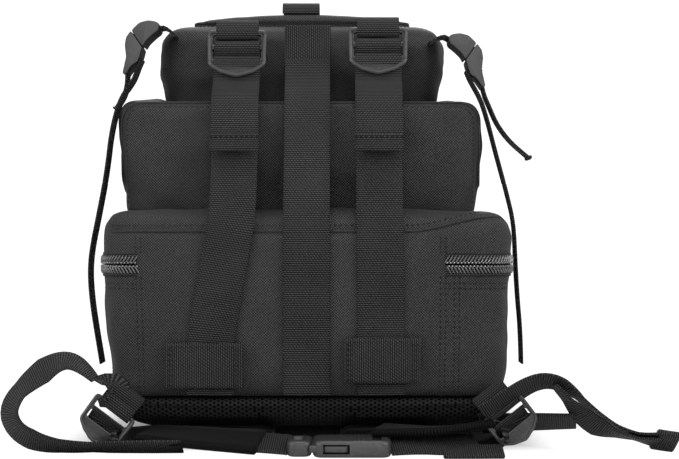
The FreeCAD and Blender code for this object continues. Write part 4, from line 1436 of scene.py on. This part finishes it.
def compressionStraps():
    middle = buckles["middle"]
    for side in ("left", "right"):
        sign = -1 if side == "left" else 1
        line = pulledLine(side + "_side", [Vector((x * mm, middle, z * mm))
                                           for x, z in compress[side]])
        cut = next(i for i, p in enumerate(line) if p.z > 0.185)
        node = side + "_compression_webbing"
        lower = strap(side + "_compression_lower", line[:cut + 1], 25 * mm, yAxis,
                      replaced=[node], thick=1.3 * mm)
        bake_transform(lower)
        upper = strap(side + "_compression_upper", line[cut:], 25 * mm, yAxis, thick=1.3 * mm)
        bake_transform(upper)
        loose = pulledLine(side + "_loose", [Vector((x * mm, middle, z * mm))
                                             for x, z in compress["second"][side]])
        strap(side + "_compression_tail", loose, 25 * mm, yAxis, thick=1.3 * mm,
              body=side + "_compression_tongue")
        hem = loose[-4:]
        strap(side + "_compression_hem", hem, 26 * mm, yAxis, thick=3.4 * mm,
              body=side + "_compression_tongue")
        anchor = pulledLine(side + "_anchor", [Vector((x * mm, middle, z * mm))
                                               for x, z in compress["anchor"][side]])
        strap(side + "_compression_anchor", anchor, 25 * mm, yAxis, body="main_lid",
              thick=1.6 * mm, replaced=["compression_anchors"] if side == "left" else ())
    print("compression straps hung")


compressionStraps()


# the waist belt's two ends, the corner loops and the straps down to their locks
harness = {"belt": 38 * mm, "beltThick": 2.0 * mm, "tilt": math.radians(15)}


def harnessWebbing():
    flat = Vector((0, math.cos(harness["tilt"]), math.sin(harness["tilt"])))
    sleeveRoute = [Vector(p) * mm for p in ((-112, -219, 12.5), (-98, -223, 12), (-84, -229, 11.4),
                                            (-62, -238, 10.6), (-40, -243.6, 9.6), (-30, -245, 9))]
    piece = strap("left_belt_sleeve", pulledLine("sleeve", sleeveRoute), 40 * mm, flat,
                  "strap_pad", replaced=["belt_webbing_left"], thick=5.0 * mm,
                  roll=lambda share: math.radians(10 - 8 * share))
    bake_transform(piece)
    line = [Vector(p) * mm for p in ((-46, -244.6, 9.6), (-30, -245, 9.4), (-11, -245.6, 7.4))]
    strap("left_belt_webbing", pulledLine("belt", line), harness["belt"] - 4 * mm, flat,
          body="waist_tongue", thick=harness["beltThick"])
    line = [Vector(p) * mm for p in ((56, -245.6, 7.4), (72, -244.6, 8.6), (96, -241, 7.2),
                                     (117, -238, 6.4))]
    strap("right_belt_webbing", pulledLine("belt", line), harness["belt"] - 2 * mm, flat,
          body="root", replaced=["belt_webbing_right"], thick=harness["beltThick"])
    line = [Vector(p) * mm for p in ((48, -228, 15.5), (70, -235, 15.4), (96, -235, 16),
                                     (124, -226, 19))]
    strap("right_belt_sleeve", pulledLine("sleeve", line), 30 * mm, flat, "strap_pad", "root",
          thick=6.0 * mm, roll=lambda share: math.radians(12 + 14 * share))
    folded = [Vector(p) * mm for p in ((92, -252, 3.6), (112, -252, 3.6), (133, -252, 3.8))]
    strap("right_belt_fold", pulledLine("fold", folded), 24 * mm, flat, body="root",
          thick=3.2 * mm, roll=lambda share: math.radians(4))
    for side in ("left", "right"):
        sign = -1 if side == "left" else 1
        place, angle = shoulderLocks[side]
        turn = Matrix.Rotation(math.radians(angle), 3, "Y")
        ways = turn @ xAxis
        body = f"{side}_shoulder_lock"
        route = [place + turn @ (Vector(p) * mm) for p in
                 ((0, 9, 16), (0, 4.2, 13), (0, 2.6, 6), (0, 2.2, 0), (0, 0.4, -3.2),
                  (0, -2.6, -2.2), (0, -3.0, 2), (0, -2.2, 7))]
        piece = strap(side + "_corner_loop", pulledLine("corner", route), 25 * mm, ways,
                      replaced=[side + "_corner_webbing"], thick=1.5 * mm)
        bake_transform(piece)
        lower = [Vector((sign * 93, -109, 7)) * mm, Vector((sign * 104, -142, 7)) * mm,
                 Vector((sign * 122, -192, 7.4)) * mm, Vector((sign * 133.5, -227, 8)) * mm]
        lower += [place + turn @ (Vector(p) * mm) for p in ((0, 2.4, -20), (0, 3.4, -12))]
        strap(side + "_lower_strap", pulledLine("lower", lower), 25 * mm, (xAxis, ways),
              body="shoulder_" + side, replaced=[side + "_lower_webbing"], thick=1.6 * mm)
        through = [place + turn @ (Vector(p) * mm) for p in
                   ((0, 3.4, -13), (0, 2.0, -9.5), (0, -1.6, -9.2), (0, -2.8, -6.5))]
        strap(side + "_lock_turn", pulledLine("through", through), 25 * mm, ways,
              body=body, thick=1.5 * mm)
    # the left tail comes round the pack's corner from its lock
    place, angle = shoulderLocks["left"]
    ways = Matrix.Rotation(math.radians(angle), 3, "Y") @ xAxis
    root = [Vector(p) * mm for p in ((-131, -223, 30), (-131, -226, 38), (-133.5, -231, 45),
                                     (-138.5, -237, 49.6), (-143.6, -240, 51))]
    strap("left_tail_root", pulledLine("root", root), 24 * mm, (ways, yAxis),
          body="shoulder_left", thick=1.6 * mm)
    stub = [Vector(p) * mm for p in ((120, -216, 19), (140, -220, 20), (160, -223, 21),
                                     (185, -226, 21.5))]
    strap("corner_stub", pulledLine("stub", stub), 25 * mm, yAxis, body="root", thick=1.6 * mm,
          roll=lambda share: math.radians(38 - 10 * share))


harnessWebbing()


# air mesh back pad, hip wings, yoke and the padded shoulder straps
pads = {
    "back": {"corner": 22 * mm, "top": 3 * mm, "bottom": 13 * mm, "inset": 3.0 * mm,
             "voxel": 5 * mm, "cap": 4.0 * mm, "pressure": 4.0},
    "small": {"corner": 12 * mm, "top": 4.5 * mm, "bottom": 4.5 * mm, "inset": 1.2 * mm,
              "voxel": 4 * mm, "cap": 2.4 * mm, "pressure": 4.0},
    "channel": (1.6 * mm, 3.2 * mm), "binding": 9 * mm,
    "outline": [(34, 139.5), (98, 139.5), (118, 60), (128, -20), (112, -112), (74, -112),
                (62, -20), (46, 60)],
}


def stuffed(name, bm, body, node, finishName, values, held, off=None):
    piece = remeshed(name, bm, values["voxel"])
    inflate(piece, values["pressure"], values["cap"], held)
    subdivided(piece)
    if off:
        groove(piece, off, *pads["channel"])
    clothMap(piece.data)
    dress(piece, finishName, body, [node])
    return piece


def backPad():
    low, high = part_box("back_pad")
    values = pads["back"]
    inset = Vector((values["inset"], values["inset"], 0))
    bm = roundForm(low + inset + zAxis * 2 * mm, high - inset, values["corner"], values["top"],
                   values["bottom"])

    def off(place):
        if place.z > high.z - 0.008:
            return 1.0
        rows = [abs(place.y - y) for y in (-0.11, 0.0, 0.11)] if abs(place.x) > 0.032 else [1.0]
        return min(rows + [abs(abs(place.x) - 0.032)])

    stuffed("back_cushion", bm, "root", "back_pad", "air_mesh", values,
            lambda p: 1 - smoothStep(0.002, 0.01, high.z - p.z), off)


def smallPads():
    values = pads["small"]
    inset = Vector((values["inset"],) * 3)
    for node, finishName in (("hip_wing_left", "strap_pad"), ("hip_wing_right", "strap_pad"),
                             ("shoulder_yoke", "strap_pad")):
        low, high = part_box(node)
        bm = roundForm(low + inset, high - inset, values["corner"], values["top"],
                       values["bottom"])
        middle = (low + high) / 2
        wing = node.startswith("hip")
        stuffed(node + "_pad", bm, "root", node, finishName, values,
                lambda p: 1 - smoothStep(0.003, 0.007, high.z - p.z),
                lambda p: min(abs(abs(p.y - middle.y) - (high.y - low.y) * 0.27),
                              abs(abs(p.x - middle.x) - (high.x - low.x) * (0.5 if wing else 0.4))))
        rim = [(high.x - 0.002, low.y + 0.016), (high.x - 0.002, high.y - 0.016),
               (high.x - 0.014, high.y - 0.002), (low.x + 0.014, high.y - 0.002),
               (low.x + 0.002, high.y - 0.016), (low.x + 0.002, low.y + 0.016),
               (low.x + 0.014, low.y + 0.002), (high.x - 0.014, low.y + 0.002),
               (high.x - 0.002, low.y + 0.016), (high.x - 0.002, low.y + 0.03)]
        strap(node + "_binding", pulledLine("rim", [Vector((x, y, middle.z)) for x, y in rim]),
              pads["binding"], zAxis, "webbing_turned", "root", thick=2.0 * mm, ripple=0.1 * mm)
    for side in ("left", "right"):
        sign = -1 if side == "left" else 1
        node = "shoulder_strap_" + side
        low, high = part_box(node)
        bm = bmesh.new()
        middle = Vector((sign * 87 * mm, 0, 0))
        corners = [bm.verts.new(Vector((sign * x * mm, y * mm, low.z + 1.2 * mm)))
                   for x, y in pads["outline"]]
        for v in corners:
            v.co.x += 1.6 * mm * (1 if v.co.x < middle.x else -1)
        bm.faces.new(corners)
        bm.normal_update()
        pushed = bmesh.ops.extrude_face_region(bm, geom=list(bm.faces))["geom"]
        bmesh.ops.translate(bm, vec=(0, 0, high.z - low.z - 2.4 * mm),
                            verts=[g for g in pushed if isinstance(g, bmesh.types.BMVert)])
        bmesh.ops.recalc_face_normals(bm, faces=bm.faces)
        soften(bm, edgesAlong(bm, zAxis), 14 * mm, 4)
        bm.normal_update()
        for level in (low.z + 1.2 * mm, high.z - 1.2 * mm):
            soften(bm, edgesAt(bm, zAxis, level), 3.6 * mm, 3)
            bm.normal_update()
        stuffed(node + "_pad", bm, "shoulder_" + side, node, "strap_pad", values,
                lambda p: 0.0, lambda p: min(abs(p.y - y) for y in (-0.075, 0.0, 0.07)))
        rim = [Vector((sign * x * mm, y * mm, (low.z + high.z) / 2))
               for x, y in ((66, 137.5), (94, 137.5), (101, 128), (116.6, 60), (126.4, -20), (116, -88),
                            (110, -110.4), (94, -110.4), (76, -110.4), (70, -94), (63.6, -20), (47.6, 60),
                            (38, 128), (44, 137.5), (66, 137.5), (72, 137.5))]
        strap(node + "_binding", pulledLine("rim", rim), pads["binding"] - 1 * mm, zAxis,
              "webbing_turned", "shoulder_" + side, thick=2.0 * mm, ripple=0.1 * mm)
        centre = [Vector((sign * x * mm, y * mm, high.z + 0.3 * mm))
                  for x, y in ((66, 134), (76, 90), (88, 40), (95, -20), (94, -70), (93, -108))]
        strap(node + "_row", pulledLine("row", centre), 25 * mm, xAxis, body="shoulder_" + side,
              thick=1.2 * mm)


backPad()
smallPads()
print("harness padded")


# lining sleeve stretched across the rear of the main compartment
sleeve = {"thick": 1.2 * mm, "bow": 2.0 * mm, "edge": 22 * mm, "corner": 24 * mm,
          "inset": Vector((7, 6, 0)) * mm}


def sleevePanel():
    low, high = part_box("sleeve_panel")
    low, high = low + sleeve["inset"], high - sleeve["inset"] * 0.9
    high.y = low.y + 0.34
    low.z = high.z = (low.z + high.z) / 2
    bm = bmesh.new()
    bmesh.ops.create_grid(bm, x_segments=40, y_segments=50, size=0.5)
    size, middle = high - low, (low + high) / 2
    for v in bm.verts:
        x, y = v.co.x, v.co.y
        fall = (1 - (2 * x) ** 2) * (1 - (2 * y) ** 2)
        v.co = Vector((middle.x + x * size.x, middle.y + y * size.y,
                       middle.z + sleeve["bow"] * fall * noise.noise(Vector((x * 5, y * 5, 2)))))
        over = Vector((abs(v.co.x - middle.x) - size.x / 2 + sleeve["corner"],
                       low.y + sleeve["corner"] - v.co.y, 0))
        if over.x > 0 and over.y > 0 and over.length > sleeve["corner"]:
            inward = over * (1 - sleeve["corner"] / over.length)
            v.co -= Vector((math.copysign(inward.x, v.co.x - middle.x), -inward.y, 0))
    piece = newPiece("sleeve_sheet", bm, "lining", "root", ["sleeve_panel"])
    clothMap(piece.data)
    thicken(piece, sleeve["thick"], even=False)
    mouth = [Vector((low.x + 0.002 + (size.x - 0.004) * i / 8, high.y - 0.008, middle.z))
             for i in range(9)]
    strap("sleeve_hem", mouth, sleeve["edge"], yAxis, "webbing", "root", thick=3.2 * mm)


sleevePanel()


# grab handle: folded webbing with a padded middle
handle = {"thick": 3.6 * mm}


def grabHandle():
    low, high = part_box("grab_handle")
    middle = (low + high) / 2
    outer, inner = high.x - 0.3 * mm, 37 * mm
    shape = [(-outer, low.y), (-outer, high.y - 0.3 * mm), (outer, high.y - 0.3 * mm),
             (outer, low.y), (inner, low.y), (inner, 254 * mm), (-inner, 254 * mm),
             (-inner, low.y)]
    bm = bmesh.new()
    bm.faces.new([bm.verts.new((x, y, low.z + 0.2 * mm)) for x, y in shape])
    pushed = bmesh.ops.extrude_face_region(bm, geom=list(bm.faces))["geom"]
    bmesh.ops.translate(bm, vec=(0, 0, handle["thick"]),
                        verts=[g for g in pushed if isinstance(g, bmesh.types.BMVert)])
    bmesh.ops.recalc_face_normals(bm, faces=bm.faces)
    soften(bm, [e for e in edgesAlong(bm, zAxis) if e.verts[0].co.y > 250 * mm], 9 * mm, 6)
    piece = newPiece("grab_webbing", bm, "webbing_turned", "grab_handle", ["grab_handle"])
    roundEdges(piece, 0.9 * mm, 2)
    clothMap(piece.data)
    wrap = [Vector((x * mm, 261 * mm, middle.z)) for x in (-36, -12, 12, 36)]
    strap("grab_wrap", wrap, 13.4 * mm, yAxis, "strap_pad", "grab_handle", thick=4.0 * mm)
    rows = [[Vector((sign * x * mm, y * mm, low.z + 0.2 * mm)) for y in range(236, 252, 3)]
            for x in (40, 59) for sign in (-1, 1)]
    stitches("grab_stitches", rows, "grab_handle")


grabHandle()


# sliders: body with its bridge, and a pull tab
def zipSlider(node, sign):
    low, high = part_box(node)
    size = high - low
    outer = high.x if sign > 0 else -low.x
    deep = size.x
    bodyLong = min(14 * mm, size.y * 0.44)
    bm = blockForm(Vector((0, high.y - bodyLong, low.z)), Vector((deep * 0.55, high.y, high.z)))
    soften(bm, edgesAlong(bm, xAxis), min(3 * mm, size.z * 0.24), 4)
    soften(bm, list(bm.edges), 0.35 * mm, 1)
    middle = (low.z + high.z) / 2
    for cube in ((Vector((deep * 0.5, high.y - bodyLong * 0.85, middle - 1.1 * mm)),
                  Vector((deep * 0.82, high.y - bodyLong * 0.15, middle + 1.1 * mm))),
                 (Vector((deep * 0.62, low.y, middle - size.z * 0.27)),
                  Vector((deep * 0.86, high.y - bodyLong * 0.45, middle + size.z * 0.27)))):
        extra = blockForm(*cube)
        soften(extra, edgesAlong(extra, xAxis), 1.0 * mm, 3)
        soften(extra, list(extra.edges), 0.3 * mm, 1)
        mesh = bpy.data.meshes.new("extra")
        extra.to_mesh(mesh)
        extra.free()
        bm.from_mesh(mesh)
        bpy.data.meshes.remove(mesh)
    for v in bm.verts:
        waist = abs(v.co.y - (high.y - bodyLong / 2)) / (bodyLong / 2)
        if v.co.x < deep * 0.56:
            v.co.z = middle + (v.co.z - middle) * (0.86 + 0.14 * min(1, waist))
        v.co.x = sign * (outer - deep + v.co.x)
    piece = newPiece(node + "_cast", bm, "slider_metal", node, [node])
    return piece


def sliders():
    for node, sign in (("main_slider_left", -1), ("main_slider_right", 1), ("second_slider", 1),
                       ("lower_flap_slider", 1), ("upper_flap_slider", 1)):
        zipSlider(node, sign)
    print("sliders made")


sliders()


# smaller coils: round the second lid, and along the mouths of the two pockets
def coilRing(name, low, high, corner, height, body, inset, start=None):
    # rounded rectangle; with a start the near side stays open below that y
    half = (high - low) / 2 - Vector((inset, inset, 0))
    middle = (high + low) / 2
    route = []
    for sx, sy, first in ((1, 1, 0), (-1, 1, 90), (-1, -1, 180), (1, -1, 270)):
        for i in range(9):
            angle = math.radians(first + 90 * i / 8)
            route.append(Vector((middle.x + sx * (half.x - corner) + corner * math.cos(angle),
                                 middle.y + sy * (half.y - corner) + corner * math.sin(angle),
                                 height)))
    if start is None:
        route.append(route[0])
    else:
        route = [p for p in route if p.y > start]
        route = [p for p in route if p.x > middle.x] + [p for p in route if p.x <= middle.x]
        route = [Vector((route[0].x, start, height))] + route + [Vector((route[-1].x, start, height))]
    bm = bmesh.new()
    even = evenly(route, 1.5 * mm)[0]
    for i in range(len(even) - 1):
        forward = tangentAt(even, i)
        turn = Matrix((forward, forward.cross(zAxis), zAxis)).transposed().to_4x4()
        lean = Matrix.Rotation(math.radians(24 if i % 2 else -24), 4, "Y")
        bmesh.ops.create_icosphere(bm, subdivisions=1, radius=1,
                                   matrix=Matrix.Translation(even[i]) @ turn @ lean
                                   @ Matrix.Diagonal((0.5 * mm, 0.8 * mm, 2.3 * mm, 1)))
    newPiece(name + "_coil", bm, "zip_chain", body)
    return strap(name + "_tape", evenly(route, 4 * mm)[0], 9 * mm, zAxis,
                 "webbing_turned", body, thick=1.0 * mm, ripple=0)


coilRing("second_zip", Vector((secondLow.x, secondLow.y, 0)), Vector((secondHigh.x, secondHigh.y, 0)),
         24 * mm, secondZip, "main_lid", 3.6 * mm, 54 * mm)
coilRing("lower_pocket_zip", flapLow, flapHigh, 14 * mm, flapLow.z - 0.6 * mm, "main_lid", 2.6 * mm)
coilRing("upper_pocket_zip", upperFlapLow, upperFlapHigh, 12 * mm, upperFlapLow.z - 0.4 * mm,
         "second_lid", 2.6 * mm)


# waist buckle lying on its face: socket with side windows, tongue with three prongs
clasp = {"fine": 0.5 * mm}


def carved(name, bm, finishName, body, replaced, cuts, fine):
    piece = newPiece(name, bm, finishName, None, replaced)
    for low, high in cuts:
        tool = newPiece("cutter", blockForm(Vector(low) * mm, Vector(high) * mm), finishName)
        hollow = piece.modifiers.new("hollow", "BOOLEAN")
        hollow.operation = "DIFFERENCE"
        hollow.object = tool
        hollow.solver = "EXACT"
        settle(piece)
        bpy.data.objects.remove(tool)
    roundEdges(piece, fine, 2, 50)
    piece.data.shade_smooth()
    piece.data.set_sharp_from_angle(angle=math.radians(40))
    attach(piece, body)
    return piece


def joinedBlocks(blocks, along, corner, edge):
    joined = bmesh.new()
    for low, high in blocks:
        part = blockForm(Vector(low) * mm, Vector(high) * mm)
        soften(part, edgesAlong(part, along), corner, 4)
        part.normal_update()
        soften(part, [e for e in part.edges if e.calc_face_angle(0) > 1.0], edge, 3)
        mesh = bpy.data.meshes.new("part")
        part.to_mesh(mesh)
        part.free()
        joined.from_mesh(mesh)
        bpy.data.meshes.remove(mesh)
    return joined


def waistBuckle():
    # the waist buckle's parts take the lighter copy of the plastic: painted highlights
    socket = joinedBlocks([((4.8, -267, 1), (57.2, -225, 12.5))], zAxis, 7 * mm, 2.6 * mm)
    carved("waist_socket_body", socket, "buckle_painted_highlight", "root", ["waist_buckle_socket"],
           [((11.5, -270, 3.6), (29.5, -258, 9.9)), ((11.5, -234, 3.6), (29.5, -222, 9.9)),
            ((3, -256.5, 3.6), (33, -235.5, 9.9)), ((44.5, -260, -2), (51, -232, 4.2)),
            ((44.5, -260, 9.4), (51, -232, 14))], clasp["fine"])
    ribs = joinedBlocks([((x, -266.2 + (2 if x > 38 else 0), 1.4), (x + 1.3, -225.8, 12.9))
                         for x in (32.4, 35.0, 37.6, 40.2)], xAxis, 2.2 * mm, 0.4 * mm)
    newPiece("waist_socket_ribs", ribs, "buckle_painted_highlight", "root")
    tongue = joinedBlocks([((-12.7, -265, 1.4), (4.0, -227, 12.1))], zAxis, 6 * mm, 2.6 * mm)
    carved("waist_tongue_body", tongue, "buckle_painted_highlight", "waist_tongue", ["waist_buckle_tongue"],
           [((-8.5, -258, -2), (-2.5, -234, 4.6)), ((-8.5, -258, 9), (-2.5, -234, 14))],
           clasp["fine"])
    prongs = joinedBlocks([((2, -265.4, 4.3), (13, -260.6, 9.2)), ((2, -231.4, 4.3), (13, -226.6, 9.2)),
                           ((12, -266.4, 4.3), (28.6, -260.4, 9.2)),
                           ((12, -231.6, 4.3), (28.6, -225.6, 9.2)),
                           ((2, -248.6, 4.7), (31.4, -243.4, 8.8))], zAxis, 2.2 * mm, 1.2 * mm)
    newPiece("waist_prongs", prongs, "buckle_painted_highlight", "waist_tongue")
    print("waist buckle made")


waistBuckle()


def sternumBuckle():
    socket = joinedBlocks([((-21.6, 7, 3.5), (-4, 33, 11.5))], zAxis, 5 * mm, 2 * mm)
    carved("sternum_socket_body", socket, "buckle_plastic", "sternum_left", ["sternum_socket"],
           [((-12.5, 2, 5.4), (-6, 10.5, 9.6)), ((-12.5, 29.5, 5.4), (-6, 38, 9.6)),
            ((-10, 12, 5.4), (-2, 28, 9.6)), ((-19, 10, 0), (-15.4, 30, 6))], 0.4 * mm)
    tongue = joinedBlocks([((13.5, 8, 3.8), (21.6, 32, 11.2))], zAxis, 3 * mm, 1.8 * mm)
    carved("sternum_tongue_body", tongue, "buckle_plastic", "sternum_right", ["sternum_tongue"],
           [((16, 10.5, 0), (19, 29.5, 6))], 0.4 * mm)
    prongs = joinedBlocks([((2.2, 9.4, 6), (14.5, 12.4, 9)), ((2.2, 27.6, 6), (14.5, 30.6, 9)),
                           ((2.2, 18.4, 6.2), (14.5, 21.6, 8.8))], zAxis, 1.2 * mm, 0.7 * mm)
    newPiece("sternum_prongs", prongs, "buckle_plastic", "sternum_right")
    for side in ("left", "right"):
        sign = -1 if side == "left" else 1
        line = pulledLine("sternum", [Vector((sign * x * mm, 20 * mm, z * mm)) for x, z in
                                      ((19, 7), (26, 7.2), (36, 6.4), (46, 6.6), (60, 7.2))])
        strap(f"sternum_{side}_strap", [p for p in line if abs(p.x) < 46.5 * mm], 19 * mm, yAxis,
              body="sternum_" + side, replaced=["sternum_webbing_" + side], thick=1.5 * mm)


sternumBuckle()


# the stiff plastic frame sheet keeps its own shape
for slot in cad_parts["frame_sheet"].material_slots:
    slot.material = finish["frame_plastic"]
